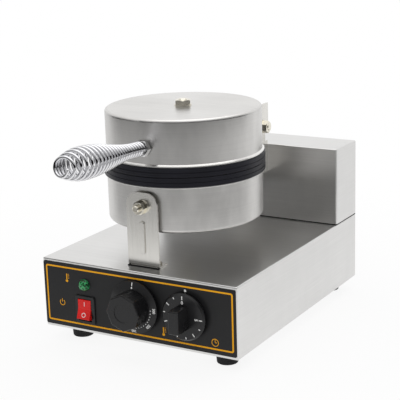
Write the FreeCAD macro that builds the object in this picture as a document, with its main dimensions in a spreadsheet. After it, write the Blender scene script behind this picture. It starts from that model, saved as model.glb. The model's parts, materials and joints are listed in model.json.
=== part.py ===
import FreeCAD, Part
import math
import os
import re

import Sketcher

# Driving sizes in millimetres and degrees, each one cell of the sheet
SIZES = {
    # Base housing, folded from sheet
    "base_width": "250",
    "base_height": "80",
    "base_front": "95.5",
    "front_margin": "23",
    "neck_length": "53.8",
    "foot_height": "18",
    "sheet_gauge": "1.2",
    "bend_radius": "1.6",
    "flange_width": "14",
    "wire_pass_width": "100",
    "wire_pass_depth": "30",
    "cover_screw_end": "62.4",
    # Black front plate
    "label_gauge": "0.8",
    "label_side": "1.2",
    "label_top": "3.2",
    "label_bottom": "2",
    "label_corner": "2",
    # Bottom cover and feet
    "cover_inset": "1",
    "vent_length": "44",
    "vent_width": "4",
    "vent_run": "60",
    "vent_offset": "55",
    "foot_inset": "29.5",
    "foot_setback": "29.5",
    "foot_rear_setback": "15",
    "foot_radius": "13",
    "foot_tip_radius": "11.7",
    "foot_recess_radius": "5.4",
    "foot_recess_depth": "5",
    "foot_rounding": "1.2",
    # Rear housing
    "rear_depth": "58.2",
    "rear_drop": "24.5",
    "rear_screw_end": "18.7",
    "rear_vent_run": "150",
    "rear_vent_height": "34",
    # Cable gland
    "gland_inset": "47",
    "gland_up": "26",
    "gland_radius": "11",
    "gland_reach": "13",
    "gland_neck_radius": "8",
    "gland_neck_length": "11",
    "gland_bore_radius": "4.2",
    "gland_nut_flats": "22",
    "gland_nut_height": "5",
    # Pan halves
    "pan_lift": "38.5",
    "pan_radius": "88.5",
    "shell_height": "52",
    "shell_gauge": "1",
    "shell_rounding": "3.5",
    "lip_reach": "2.2",
    "lip_height": "1.8",
    "lip_rounding": "0.7",
    "plate_overhang": "3.3",
    "plate_edge": "10.5",
    "plate_gap": "0.3",
    "plate_rounding": "0.8",
    "rim_groove_width": "0.8",
    "rim_groove_depth": "0.6",
    "spigot_depth": "6",
    "spigot_gap": "0.5",
    "waffle_border": "9.8",
    "waffle_drop": "1.2",
    "waffle_margin": "2",
    "groove_pitch": "9",
    "groove_depth": "2",
    "heater_ring_radius": "58",
    "heater_radius": "4.2",
    "heater_opening": "40",
    "heater_post_radius": "2.5",
    "heater_post_height": "12",
    "clamp_overhang": "7.8",
    "clamp_width": "26",
    "clamp_gauge": "3",
    "insulation_room": "34",
    "insulation_gap": "1.5",
    "insulation_chamfer": "4",
    "stud_radius": "5",
    "stud_end": "1.2",
    "stud_bite": "0.5",
    "bulb_radius": "3",
    "bulb_length": "60",
    "bulb_across": "30",
    # Nuts, bolts and washers by thread
    "large_flats": "16.5",
    "large_nut_height": "5",
    "large_washer_radius": "9.6",
    "large_washer_gauge": "1.4",
    "bolt_radius": "4",
    "bolt_flats": "13",
    "bolt_nut_height": "6.5",
    "bolt_head_height": "5.3",
    "bolt_washer_radius": "8",
    "bolt_washer_gauge": "1.6",
    "bolt_end": "5",
    "hinge_bolt_end": "1.2",
    "bolt_tip": "1",
    "small_radius": "3",
    "small_flats": "10",
    "small_nut_height": "5",
    "small_head_height": "4",
    "screw_radius": "2.5",
    "screw_head_radius": "4.4",
    "screw_head_height": "3",
    "screw_nut_flats": "8",
    "screw_nut_height": "4",
    "tapper_radius": "1.9",
    "tapper_head_radius": "3.6",
    "tapper_head_height": "2.2",
    "tapper_length": "6",
    "thread_end": "1",
    # Clearances
    "hole_gap": "0.25",
    "thread_gap": "0.05",
    "running_gap": "0.08",
    "face_gap": "0.3",
    "curve_gap": "0.6",
    "blind_gap": "1",
    # Front bracket
    "bracket_gauge": "2",
    "bracket_width": "40",
    "bracket_above": "16",
    "bracket_foot": "17",
    "bracket_bend": "2.6",
    "bracket_corner": "15",
    "bracket_bolt_drop": "22.5",
    "bracket_screw_setback": "10.2",
    "bracket_screw_span": "24",
    "rib_width": "6",
    "rib_low": "15",
    "rib_stop": "16",
    "rib_height": "2",
    "rib_rounding": "0.9",
    "spacer_radius": "7",
    "spacer_length": "3",
    # Hinge
    "pivot_ahead": "17",
    "pivot_rise": "16.85",
    "hinge_span": "62",
    "hinge_gauge": "2",
    "web_gap": "2.2",
    "web_height": "27.5",
    "web_bolt_low": "7.5",
    "bolt_gap": "2",
    "cheek_radius": "11",
    "cheek_step": "12",
    "cheek_flange": "12",
    "flange_drop": "34.5",
    "flange_rise": "4.5",
    "arm_tail": "15",
    "arm_low": "10",
    "arm_web_gap": "1.4",
    "arm_web_height": "30",
    "arm_corner": "8",
    "arm_bolt_low": "10",
    "flange_bolt_drop": "9.5",
    "flange_bolt_pitch": "18",
    "hinge_tube_radius": "7",
    # Handle
    "handle_turn": "2",
    "handle_tilt": "4.5",
    "handle_up": "20.7",
    "handle_rod_radius": "4.9",
    "handle_rod_inner": "20",
    "handle_rod_outer": "52",
    "handle_hole_gap": "0.9",
    "handle_nut_height": "6",
    "handle_nut_gap": "0.84",
    "handle_nut_inner_gap": "1.44",
    "coil_gap": "2.16",
    "coil_length": "149",
    "coil_turns": "22",
    "coil_first_pitch": "4.9",
    "coil_wire_radius": "1.75",
    "coil_belly_radius": "17.4",
    "coil_tip_radius": "9.25",
    "coil_root_straight": "14",
    "coil_belly_share": "0.737",
    # Switch and lamp
    "switch_across": "-68",
    "switch_up": "26",
    "bezel_border": "2.2",
    "bezel_end_border": "2.35",
    "switch_bezel_reach": "2.2",
    "switch_bezel_corner": "2",
    "switch_body_width": "21.6",
    "switch_body_height": "27.8",
    "switch_body_depth": "24",
    "switch_wall": "1.9",
    "switch_end_wall": "0.9",
    "switch_well_depth": "7.2",
    "switch_pivot_depth": "1.4",
    "rocker_side_gap": "0.4",
    "rocker_end_gap": "1.6",
    "rocker_end": "6.2",
    "rocker_dip": "4.4",
    "rocker_tilt": "11",
    "rocker_pin_radius": "1.5",
    "rocker_pin_inset": "0.5",
    "lamp_rise": "29",
    "lamp_radius": "7",
    "lamp_reach": "6",
    "lamp_stem_radius": "4.6",
    "lamp_stem_length": "7",
    "lamp_holder_radius": "6.5",
    "lamp_holder_length": "22",
    "blade_width": "6.3",
    "blade_gauge": "0.8",
    "blade_length": "8",
    # Thermostat and timer
    "knob_gap": "0.8",
    "control_gap": "6.9",
    "control_screw_offset": "14",
    "shaft_radius": "3",
    "shaft_inner": "10",
    "shaft_outer": "17",
    "thermostat_up": "41",
    "thermostat_width": "44",
    "thermostat_height": "38",
    "thermostat_depth": "28",
    "thermostat_skirt_radius": "30",
    "thermostat_skirt_height": "5",
    "thermostat_grip_flats": "38.6",
    "thermostat_grip_corner": "2.5",
    "thermostat_grip_flare": "0.6",
    "thermostat_dish_radius": "10.5",
    "thermostat_dish_depth": "0.5",
    "thermostat_reach": "28",
    "timer_up": "40",
    "timer_width": "46",
    "timer_height": "44",
    "timer_depth": "30",
    "timer_skirt_radius": "26.5",
    "timer_skirt_height": "5",
    "timer_grip_width": "12.5",
    "timer_grip_length": "26",
    "timer_reach": "28",
    "knob_rounding": "1.4",
    # Terminal block
    "block_inset": "65",
    "block_setback": "70",
    "block_width": "52",
    "block_depth": "26",
    "block_height": "18",
    "block_screw_pitch": "16",
    "block_screw_depth": "8",
}

# Places that several pieces share, as sums of the sizes
BASE_TOP = "(foot_height + base_height)"
FRONT = "(-base_front)"
BASE_DEPTH = "(front_margin + 2 * pan_radius + neck_length + rear_depth)"
BACK = "(%s - base_front)" % BASE_DEPTH
LABEL_FACE = "(-base_front - label_gauge)"
PANEL_DEPTH = "(label_gauge + sheet_gauge)"
SHELL_FRONT = "(front_margin - base_front)"
PAN_Y = "(front_margin + pan_radius - base_front)"
SHELL_BACK = "(front_margin + 2 * pan_radius - base_front)"
PLATE_RADIUS = "(pan_radius + plate_overhang)"
WAFFLE_RADIUS = "(pan_radius + plate_overhang - waffle_border)"
LOWER_RIM = "(foot_height + base_height + pan_lift + shell_height)"
UPPER_RIM = "(foot_height + base_height + pan_lift + shell_height + 2 * plate_edge + plate_gap)"
REAR_Y = "(front_margin + 2 * pan_radius + neck_length - base_front)"
BRACKET_IN_BASE = "(front_margin - spacer_length - bracket_gauge)"
BRACKET_Y = "(%s - base_front)" % BRACKET_IN_BASE
BRACKET_BOLT_UP = "(pan_lift + shell_height - bracket_bolt_drop)"
PIVOT_HEIGHT = "(pan_lift + shell_height + plate_edge + plate_gap / 2 + pivot_rise)"
PIVOT_Z = "(%s + %s)" % (BASE_TOP, PIVOT_HEIGHT)
PIVOT_IN_NECK = "(neck_length - pivot_ahead)"
PIVOT_Y = "(%s + %s)" % (SHELL_BACK, PIVOT_IN_NECK)
REAR_HEIGHT = "(%s - rear_drop)" % PIVOT_HEIGHT
FLANGE_LOW = "(%s - flange_drop)" % REAR_HEIGHT
FLANGE_HIGH = "(%s + flange_rise)" % REAR_HEIGHT
FLANGE_BOLT_HIGH = "(%s - flange_bolt_drop)" % REAR_HEIGHT
FLANGE_BOLT_LOW = "(%s - flange_bolt_drop - flange_bolt_pitch)" % REAR_HEIGHT
WEB_HIGH = "(pan_lift + shell_height - lip_height - web_gap)"
WEB_LOW = "(%s - web_height)" % WEB_HIGH
WEB_BOLT_LOW = "(%s + web_bolt_low)" % WEB_LOW
WEB_BOLT_HIGH = "(%s + small_flats + bolt_gap)" % WEB_BOLT_LOW
ARM_WEB_LOW = "(plate_edge + plate_gap / 2 - pivot_rise + lip_height + arm_web_gap)"
ARM_HIGH = "(%s + arm_web_height)" % ARM_WEB_LOW
ARM_BOLT_LOW = "(%s + arm_bolt_low)" % ARM_WEB_LOW
ARM_BOLT_HIGH = "(%s + small_flats + bolt_gap)" % ARM_BOLT_LOW
SPIGOT_RADIUS = "(pan_radius - shell_gauge - spigot_gap)"
CLAMP_TOP = "(-spigot_depth - 2 * heater_radius)"
CLAMP_UNDER = "(-spigot_depth - 2 * heater_radius - clamp_gauge)"
CLAMP_HALF = "(heater_ring_radius + heater_radius + clamp_overhang)"
INSULATION_HEIGHT = "(shell_height - shell_gauge - insulation_room)"
ARM_INSIDE = "(hinge_span / 2 + hinge_gauge + face_gap)"
ARM_OUTSIDE = "(hinge_span / 2 + 2 * hinge_gauge + face_gap)"
WASHER_SEAT = "(hinge_span / 2 + 2 * hinge_gauge + 2 * face_gap)"
COIL_ROOT_RADIUS = "(handle_rod_radius + coil_wire_radius)"
COIL_START = "(handle_nut_gap + handle_nut_height + coil_gap)"
HANDLE_ACROSS = "(pan_radius * sin(handle_turn * 1 deg))"
WELL_WIDTH = "(switch_body_width - 2 * switch_wall)"
WELL_HEIGHT = "(switch_body_height - 2 * switch_end_wall)"
BEZEL_HALF_WIDTH = "(switch_body_width / 2 + bezel_border)"
BEZEL_HALF_HEIGHT = "(switch_body_height / 2 + bezel_end_border)"
ROCKER_WIDTH = "(switch_body_width - 2 * switch_wall - 2 * rocker_side_gap)"
ROCKER_HALF = "(switch_body_height / 2 - switch_end_wall - rocker_end_gap)"
LAMP_UP = "(switch_up + lamp_rise)"
CONTROL_LIFT = "(tapper_head_height + knob_gap)"
TIMER_ACROSS = "(thermostat_skirt_radius + control_gap + timer_skirt_radius)"
GLAND_ACROSS = "(base_width / 2 - gland_inset)"
BLOCK_ACROSS = "(base_width / 2 - block_inset)"

# Turns that lay a piece's own upward axis along another direction
X_AXIS = FreeCAD.Vector(1, 0, 0)
Y_AXIS = FreeCAD.Vector(0, 1, 0)
Z_AXIS = FreeCAD.Vector(0, 0, 1)
UPRIGHT = FreeCAD.Rotation(Z_AXIS, 0)
DOWNWARD = FreeCAD.Rotation(X_AXIS, 180)
TO_FRONT = FreeCAD.Rotation(X_AXIS, 90)
TO_BACK = FreeCAD.Rotation(X_AXIS, -90)
TO_RIGHT = FreeCAD.Rotation(Y_AXIS, 90)
TO_LEFT = FreeCAD.Rotation(Y_AXIS, -90)

COIL_SIDES = 8
COIL_STEPS_PER_TURN = 14

doc = FreeCAD.newDocument("waffle_cone_maker")
sheet = doc.addObject("Spreadsheet::Sheet", "sizes")
nodes = []
bolt_nuts = []
bolt_washers = []


def fill_sheet():
    """Writes every driving size into its own cell with its name as alias."""
    for row, (name, text) in enumerate(SIZES.items(), start=1):
        sheet.set("A%d" % row, name.replace("_", " "))
        sheet.set("B%d" % row, text)
        sheet.setAlias("B%d" % row, name)
    doc.recompute()


def bind(text):
    """Turns the size names in a sum into references to the sheet."""
    return re.sub(r"[a-z]\w*", cell_of, text)


def cell_of(match):
    """Gives the sheet reference of one word, or the word itself."""
    word = match.group()
    return "sizes." + word if word in SIZES else word


def value(text):
    """Works out a sum of sizes."""
    return float(sheet.evalExpression(bind(text)))


def keep(item, label):
    """Marks an object as one piece of the part under its own name."""
    item.Label = label
    nodes.append(item)
    return item


def place(item, across="0", along="0", up="0", turn=UPRIGHT):
    """Puts an object at sums of sizes, with its own axis turned."""
    item.Placement = FreeCAD.Placement(FreeCAD.Vector(), turn)
    for axis, text in zip("xyz", (across, along, up)):
        item.setExpression("Placement.Base." + axis, bind(text))
    return item


def group(label, members):
    """Joins equal pieces into one named group of separate solids."""
    item = doc.addObject("Part::Compound", label)
    item.Links = members
    return keep(item, label)


def new_body(name):
    """Starts a body."""
    body = doc.addObject("PartDesign::Body", name)
    body.Label = name
    return body


def sketch_on(body, role, lift="0"):
    """Starts a sketch on one of the body's own planes, lifted along its normal."""
    sketch = body.newObject("Sketcher::SketchObject", body.Name + "_sketch")
    plane = next(item for item in body.Origin.OriginFeatures if item.Role == role)
    sketch.AttachmentSupport = [(plane, "")]
    sketch.MapMode = "FlatFace"
    if lift != "0":
        sketch.setExpression("AttachmentOffset.Base.z", bind(lift))
    return sketch


def pin_point(sketch, curve, end, across, along):
    """Dimensions one point of a sketch from the sketch's origin."""
    for kind, text in (("DistanceX", across), ("DistanceY", along)):
        index = sketch.addConstraint(Sketcher.Constraint(kind, -1, 1, curve, end, value(text)))
        sketch.setExpression("Constraints[%d]" % index, bind(text))


def outline(sketch, corners):
    """Draws a closed outline through dimensioned corners."""
    points = [FreeCAD.Vector(value(across), value(along), 0) for across, along in corners]
    first = sketch.GeometryCount
    count = len(points)
    for index in range(count):
        sketch.addGeometry(Part.LineSegment(points[index], points[(index + 1) % count]))
    for index in range(count):
        following = first + (index + 1) % count
        sketch.addConstraint(Sketcher.Constraint("Coincident", first + index, 2, following, 1))
    for index, (across, along) in enumerate(corners):
        pin_point(sketch, first + index, 1, across, along)


def rectangle(sketch, left, right, low, high):
    """Draws a rectangle between four dimensioned sides."""
    outline(sketch, [(left, low), (right, low), (right, high), (left, high)])


def circle(sketch, across, along, radius):
    """Draws a circle with a dimensioned centre and radius."""
    centre = FreeCAD.Vector(value(across), value(along), 0)
    curve = sketch.addGeometry(Part.Circle(centre, Z_AXIS, value(radius)))
    pin_point(sketch, curve, 3, across, along)
    index = sketch.addConstraint(Sketcher.Constraint("Radius", curve, value(radius)))
    sketch.setExpression("Constraints[%d]" % index, bind(radius))


def corner_reach(flats, sides):
    """Gives how far a regular polygon's corners are from its middle."""
    return "(%s) / 2 / cos(%.1f deg)" % (flats, 180 / sides)


def polygon(sketch, flats, sides):
    """Draws a regular polygon by its width across flats."""
    corners = []
    for step in range(sides):
        turn = 360 / sides * step
        reach = corner_reach(flats, sides)
        corners.append(("%s * cos(%.1f deg)" % (reach, turn), "%s * sin(%.1f deg)" % (reach, turn)))
    outline(sketch, corners)


def pad(body, sketch, length, reverse=False):
    """Raises a sketch along its normal, or against it."""
    feature = body.newObject("PartDesign::Pad", body.Name + "_pad")
    feature.Profile = sketch
    feature.setExpression("Length", bind(length))
    feature.Reversed = reverse
    sketch.Visibility = False
    return feature


def pocket(body, sketch, length, reverse=False):
    """Cuts a sketch against its normal, or along it, and proves that it removed material."""
    doc.recompute()
    before = body.Shape.Volume
    feature = body.newObject("PartDesign::Pocket", body.Name + "_pocket")
    feature.Profile = sketch
    feature.setExpression("Length", bind(length))
    feature.Reversed = reverse
    doc.recompute()
    if body.Shape.Volume > before - 1e-6:
        raise RuntimeError("a pocket of %s removed nothing" % body.Label)
    return feature


def revolve(body, sketch, kind="PartDesign::Revolution"):
    """Turns a sketch round the body's upward axis, adding or cutting."""
    feature = body.newObject(kind, body.Name + "_turned")
    feature.Profile = sketch
    feature.ReferenceAxis = (sketch, ["V_Axis"])
    feature.Angle = 360
    return feature


def turned(name, corners):
    """Makes a turned body from its half section of radius and height."""
    body = new_body(name)
    sketch = sketch_on(body, "XZ_Plane")
    outline(sketch, corners)
    revolve(body, sketch)
    return body


def soften(body, size, chosen, kind="PartDesign::Fillet"):
    """Rounds or chamfers the edges that a test chooses."""
    doc.recompute()
    base = body.Tip
    edges = [number for number, edge in enumerate(base.Shape.Edges, start=1) if chosen(edge)]
    if not edges:
        raise RuntimeError("no edge chosen on %s" % body.Label)
    feature = body.newObject(kind, body.Name + "_edges")
    feature.Base = (base, ["Edge%d" % number for number in edges])
    feature.setExpression("Radius" if kind.endswith("Fillet") else "Size", bind(size))
    return feature


def near(first, second):
    """Tells whether two lengths are the same."""
    return abs(first - second) < 1e-4


def is_ring(edge, radius, up):
    """Tells whether an edge is a circle of one radius at one height."""
    curve = edge.Curve
    round_edge = curve.TypeId == "Part::GeomCircle"
    return round_edge and near(curve.Radius, value(radius)) and near(curve.Center.z, value(up))


def runs_along(edge, axis):
    """Tells whether an edge is a straight line along one axis."""
    if edge.Curve.TypeId != "Part::GeomLine":
        return False
    return near(abs(edge.Curve.Direction.dot(axis)), 1)


def washer(name, inner, outer, gauge):
    """Makes a flat ring that stands on its own origin."""
    return turned(name, [(inner, "0"), (outer, "0"), (outer, gauge), (inner, gauge)])


def screw(name, radius, length, head_radius, head_height):
    """Makes a pan head screw with its seat at the origin and its shank downward."""
    corners = [
        ("0", "-(%s)" % length),
        (radius, "-(%s)" % length),
        (radius, "0"),
        (head_radius, "0"),
        (head_radius, "0.55 * %s" % head_height),
        ("0.72 * %s" % head_radius, head_height),
        ("0", head_height),
    ]
    return turned(name, corners)


def chamfer_hexagon(body, flats, up):
    """Takes the corners off the outer face of a hexagon, as a nut has them."""
    sketch = sketch_on(body, "XZ_Plane")
    inner = "0.49 * %s" % flats
    outer = "0.64 * %s" % flats
    outline(sketch, [(inner, up), (outer, up), (outer, "%s - 0.08 * %s" % (up, flats))])
    revolve(body, sketch, "PartDesign::Groove")


def hex_nut(name, flats, height, thread):
    """Makes a hexagon nut that stands on its own origin."""
    body = new_body(name)
    sketch = sketch_on(body, "XY_Plane")
    polygon(sketch, flats, 6)
    circle(sketch, "0", "0", "%s + thread_gap" % thread)
    pad(body, sketch, height)
    chamfer_hexagon(body, flats, height)
    return body


def hex_bolt(name, flats, head_height, radius, length):
    """Makes a hexagon bolt with its seat at the origin and its shank downward."""
    body = new_body(name)
    head = sketch_on(body, "XY_Plane")
    polygon(head, flats, 6)
    pad(body, head, head_height)
    chamfer_hexagon(body, flats, head_height)
    shank = sketch_on(body, "XY_Plane")
    circle(shank, "0", "0", radius)
    pad(body, shank, length, reverse=True)
    soften(body, "bolt_tip", lambda edge: is_ring(edge, radius, "-(%s)" % length), "PartDesign::Chamfer")
    return body


def slot_row(body, slot, axis_role, run, count):
    """Repeats a slot along one of the body's axes."""
    row = body.newObject("PartDesign::LinearPattern", body.Name + "_slots")
    row.Originals = [slot]
    axis = next(item for item in body.Origin.OriginFeatures if item.Role == axis_role)
    row.Direction = (axis, [""])
    row.setExpression("Length", bind(run))
    body.Tip = row
    row.Occurrences = count
    doc.recompute()
    return row


def foot_places():
    """Lists the four foot positions."""
    places = []
    for side in ("-1", "1"):
        across = "%s * (base_width / 2 - foot_inset)" % side
        places.append((across, FRONT + " + foot_setback"))
        places.append((across, BACK + " - foot_rear_setback"))
    return places


def cover_screw_places():
    """Lists the six screws that hold the bottom cover to the side flanges."""
    places = []
    for side in ("-1", "1"):
        across = "%s * (base_width / 2 - flange_width / 2)" % side
        places.append((across, FRONT + " + cover_screw_end"))
        places.append((across, "%s + %s / 2" % (FRONT, BASE_DEPTH)))
        places.append((across, BACK + " - cover_screw_end"))
    return places


def rear_screw_places():
    """Lists the four screws that hold the rear cover."""
    places = []
    for side in ("-1", "1"):
        across = "%s * (base_width / 2 - flange_width / 2)" % side
        places.append((across, "rear_screw_end"))
        places.append((across, REAR_HEIGHT + " - rear_screw_end"))
    return places


def build_base_housing():
    """Folds the base: a channel with end walls, panel openings and holes."""
    body = new_body("base_housing")
    half = "base_width / 2"
    section = sketch_on(body, "XZ_Plane")
    outline(section, [
        ("flange_width - " + half, "0"),
        ("-" + half, "0"),
        ("-" + half, "base_height"),
        (half, "base_height"),
        (half, "0"),
        (half + " - flange_width", "0"),
        (half + " - flange_width", "sheet_gauge"),
        (half + " - sheet_gauge", "sheet_gauge"),
        (half + " - sheet_gauge", "base_height - sheet_gauge"),
        ("sheet_gauge - " + half, "base_height - sheet_gauge"),
        ("sheet_gauge - " + half, "sheet_gauge"),
        ("flange_width - " + half, "sheet_gauge"),
    ])
    pad(body, section, BASE_DEPTH, reverse=True)
    for lift in ("0", "sheet_gauge - " + BASE_DEPTH):
        wall = sketch_on(body, "XZ_Plane", lift)
        rectangle(wall, "-" + half, half, "0", "base_height")
        pad(body, wall, "sheet_gauge", reverse=True)
    openings = sketch_on(body, "XZ_Plane")
    panel_openings(openings, "0")
    pocket(body, openings, "sheet_gauge")
    gland = sketch_on(body, "XZ_Plane", "sheet_gauge - " + BASE_DEPTH)
    circle(gland, GLAND_ACROSS, "gland_up", "gland_neck_radius + hole_gap")
    pocket(body, gland, "sheet_gauge")
    top = sketch_on(body, "XY_Plane", "base_height")
    for side in ("-1", "1"):
        across = "%s * bracket_screw_span / 2" % side
        circle(top, across, BRACKET_IN_BASE + " + bracket_screw_setback", "screw_radius + hole_gap")
    middle = BASE_DEPTH + " - rear_depth / 2"
    rectangle(top, "-wire_pass_width / 2", "wire_pass_width / 2",
              middle + " - wire_pass_depth / 2", middle + " + wire_pass_depth / 2")
    pocket(body, top, "sheet_gauge")
    under = sketch_on(body, "XY_Plane", "sheet_gauge")
    for across, along in cover_screw_places():
        circle(under, across, along + " + base_front", "tapper_radius + hole_gap")
    pocket(body, under, "sheet_gauge")

    def outer_bend(edge):
        """Chooses the outer bends of the top and the upright corners."""
        middle_point = edge.CenterOfMass
        at_top = near(middle_point.z, value("base_height"))
        at_side = near(abs(middle_point.x), value("base_width / 2"))
        at_end = near(middle_point.y, 0) or near(middle_point.y, value(BASE_DEPTH))
        return at_top + at_side + at_end == 2 and not edge.Curve.TypeId == "Part::GeomCircle"

    soften(body, "bend_radius", outer_bend)
    keep(place(body, "0", FRONT, "foot_height"), "base_housing")


def panel_openings(sketch, gap):
    """Draws the openings for the controls, with one extra gap all round."""
    wide = "(switch_body_width / 2 + hole_gap + %s)" % gap
    tall = "(switch_body_height / 2 + hole_gap + %s)" % gap
    rectangle(sketch, "switch_across - " + wide, "switch_across + " + wide,
              "switch_up - " + tall, "switch_up + " + tall)
    circle(sketch, "switch_across", LAMP_UP, "lamp_stem_radius + hole_gap + " + gap)
    for across, up in (("0", "thermostat_up"), (TIMER_ACROSS, "timer_up")):
        circle(sketch, across, up, "shaft_radius + 2 * hole_gap + " + gap)
        for side in ("-1", "1"):
            beside = "%s + %s * control_screw_offset" % (across, side)
            circle(sketch, beside, up, "tapper_radius + hole_gap + " + gap)


def build_front_label():
    """Makes the thin black plate that covers the base's front."""
    body = new_body("front_label")
    face = sketch_on(body, "XZ_Plane")
    side = "(base_width / 2 - label_side)"
    rectangle(face, "-" + side, side, "label_bottom", "base_height - label_top")
    panel_openings(face, "0")
    pad(body, face, "label_gauge")

    def plate_corner(edge):
        """Chooses the four outer corners of the plate."""
        return runs_along(edge, Y_AXIS) and near(abs(edge.CenterOfMass.x), value(side))

    soften(body, "label_corner", plate_corner)
    keep(place(body, "0", FRONT, "foot_height"), "front_label")


def build_bottom():
    """Makes the bottom cover with its vents, the feet and their fastenings."""
    cover = new_body("base_plate")
    face = sketch_on(cover, "XY_Plane")
    side = "(base_width / 2 - cover_inset)"
    rectangle(face, "-" + side, side, FRONT + " + cover_inset", BACK + " - cover_inset")
    for across, along in foot_places():
        circle(face, across, along, "screw_radius + hole_gap")
    for across, along in cover_screw_places():
        circle(face, across, along, "tapper_radius + hole_gap")
    pad(cover, face, "sheet_gauge", reverse=True)
    first_slot = sketch_on(cover, "XY_Plane")
    slot_side = "vent_offset + vent_length"
    start = "%s + %s / 2 - vent_run / 2" % (FRONT, BASE_DEPTH)
    rectangle(first_slot, "vent_offset", slot_side, start, start + " + vent_width")
    slot = pocket(cover, first_slot, "sheet_gauge")
    slot_row(cover, slot, "Y_Axis", "vent_run", 6)
    other_slot = sketch_on(cover, "XY_Plane")
    rectangle(other_slot, "-(%s)" % slot_side, "-vent_offset", start, start + " + vent_width")
    slot = pocket(cover, other_slot, "sheet_gauge")
    slot_row(cover, slot, "Y_Axis", "vent_run", 6)
    keep(place(cover, "0", "0", "foot_height"), "base_plate")

    foot_top = "foot_height - sheet_gauge"
    hole = "screw_radius + hole_gap"
    feet = []
    screws = []
    nuts = []
    for number, (across, along) in enumerate(foot_places(), start=1):
        foot = turned("foot_%d" % number, [
            ("foot_recess_radius", "0"),
            ("foot_tip_radius", "0"),
            ("foot_radius", foot_top),
            (hole, foot_top),
            (hole, "foot_recess_depth"),
            ("foot_recess_radius", "foot_recess_depth"),
        ])
        soften(foot, "foot_rounding", lambda edge: is_ring(edge, "foot_tip_radius", "0"))
        feet.append(place(foot, across, along, "0"))
        length = "foot_height - foot_recess_depth + screw_nut_height + thread_end"
        item = screw("foot_screw_%d" % number, "screw_radius", length, "screw_head_radius", "screw_head_height")
        screws.append(place(item, across, along, "foot_recess_depth", DOWNWARD))
        nut = hex_nut("foot_nut_%d" % number, "screw_nut_flats", "screw_nut_height", "screw_radius")
        nuts.append(place(nut, across, along, "foot_height"))
    group("rubber_feet", feet)
    group("foot_screws", screws)
    group("foot_nuts", nuts)

    tappers = []
    for number, (across, along) in enumerate(cover_screw_places(), start=1):
        item = screw("cover_screw_%d" % number, "tapper_radius", "tapper_length",
                     "tapper_head_radius", "tapper_head_height")
        tappers.append(place(item, across, along, "foot_height - sheet_gauge", DOWNWARD))
    group("base_plate_screws", tappers)


def build_rear():
    """Makes the rear housing, its cover and the screws of the cover."""
    body = new_body("rear_housing")
    half = "base_width / 2"
    depth = "(rear_depth - sheet_gauge)"
    block = sketch_on(body, "XZ_Plane")
    rectangle(block, "-" + half, half, "0", REAR_HEIGHT)
    pad(body, block, depth, reverse=True)
    hollow = sketch_on(body, "XZ_Plane", "-sheet_gauge")
    rectangle(hollow, "sheet_gauge - " + half, half + " - sheet_gauge",
              "sheet_gauge", REAR_HEIGHT + " - sheet_gauge")
    pocket(body, hollow, depth + " - 2 * sheet_gauge")
    opening = sketch_on(body, "XZ_Plane", "sheet_gauge - " + depth)
    rectangle(opening, "flange_width - " + half, half + " - flange_width",
              "flange_width", REAR_HEIGHT + " - flange_width")
    for across, up in rear_screw_places():
        circle(opening, across, up, "tapper_radius + hole_gap")
    pocket(body, opening, "sheet_gauge")
    under = sketch_on(body, "XY_Plane", "sheet_gauge")
    rectangle(under, "flange_width - " + half, half + " - flange_width",
              "flange_width", depth + " - flange_width")
    pocket(body, under, "sheet_gauge")
    front = sketch_on(body, "XZ_Plane")
    for across, up in flange_bolt_places():
        circle(front, across, up, "screw_radius + hole_gap")
    pocket(body, front, "sheet_gauge")

    def outer_bend(edge):
        """Chooses the outer bends of the front, the top and the sides."""
        middle_point = edge.CenterOfMass
        at_level = near(middle_point.z, 0) or near(middle_point.z, value(REAR_HEIGHT))
        at_side = near(abs(middle_point.x), value("base_width / 2"))
        at_front = near(middle_point.y, 0)
        return at_level + at_side + at_front == 2 and edge.Curve.TypeId == "Part::GeomLine"

    soften(body, "bend_radius", outer_bend)
    keep(place(body, "0", REAR_Y, BASE_TOP), "rear_housing")

    cover = new_body("rear_cover")
    face = sketch_on(cover, "XZ_Plane")
    side = "(base_width / 2 - cover_inset)"
    rectangle(face, "-" + side, side, "cover_inset", REAR_HEIGHT + " - cover_inset")
    for across, up in rear_screw_places():
        circle(face, across, up, "tapper_radius + hole_gap")
    pad(cover, face, "sheet_gauge")
    first_slot = sketch_on(cover, "XZ_Plane", "sheet_gauge")
    low = "(%s / 2 - rear_vent_height / 2)" % REAR_HEIGHT
    rectangle(first_slot, "-rear_vent_run / 2", "vent_width - rear_vent_run / 2",
              low, low + " + rear_vent_height")
    slot = pocket(cover, first_slot, "sheet_gauge")
    slot_row(cover, slot, "X_Axis", "rear_vent_run - vent_width", 12)
    keep(place(cover, "0", BACK, BASE_TOP), "rear_cover")

    screws = []
    for number, (across, up) in enumerate(rear_screw_places(), start=1):
        item = screw("rear_screw_%d" % number, "tapper_radius", "tapper_length",
                     "tapper_head_radius", "tapper_head_height")
        screws.append(place(item, across, BACK, "%s + %s" % (BASE_TOP, up), TO_BACK))
    group("rear_cover_screws", screws)


def build_gland():
    """Makes the cable gland in the base's back wall and the nut inside it."""
    neck_end = "-gland_neck_length"
    gland = turned("cable_gland", [
        ("gland_bore_radius", neck_end),
        ("gland_neck_radius", neck_end),
        ("gland_neck_radius", "0"),
        ("gland_radius", "0"),
        ("gland_radius", "0.55 * gland_reach"),
        ("0.8 * gland_radius", "gland_reach"),
        ("gland_bore_radius", "gland_reach"),
    ])
    up = "foot_height + gland_up"
    keep(place(gland, GLAND_ACROSS, BACK, up, TO_BACK), "cable_gland")
    nut = hex_nut("gland_nut", "gland_nut_flats", "gland_nut_height", "gland_neck_radius")
    keep(place(nut, GLAND_ACROSS, BACK + " - sheet_gauge", up, TO_FRONT), "gland_nut")


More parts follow.
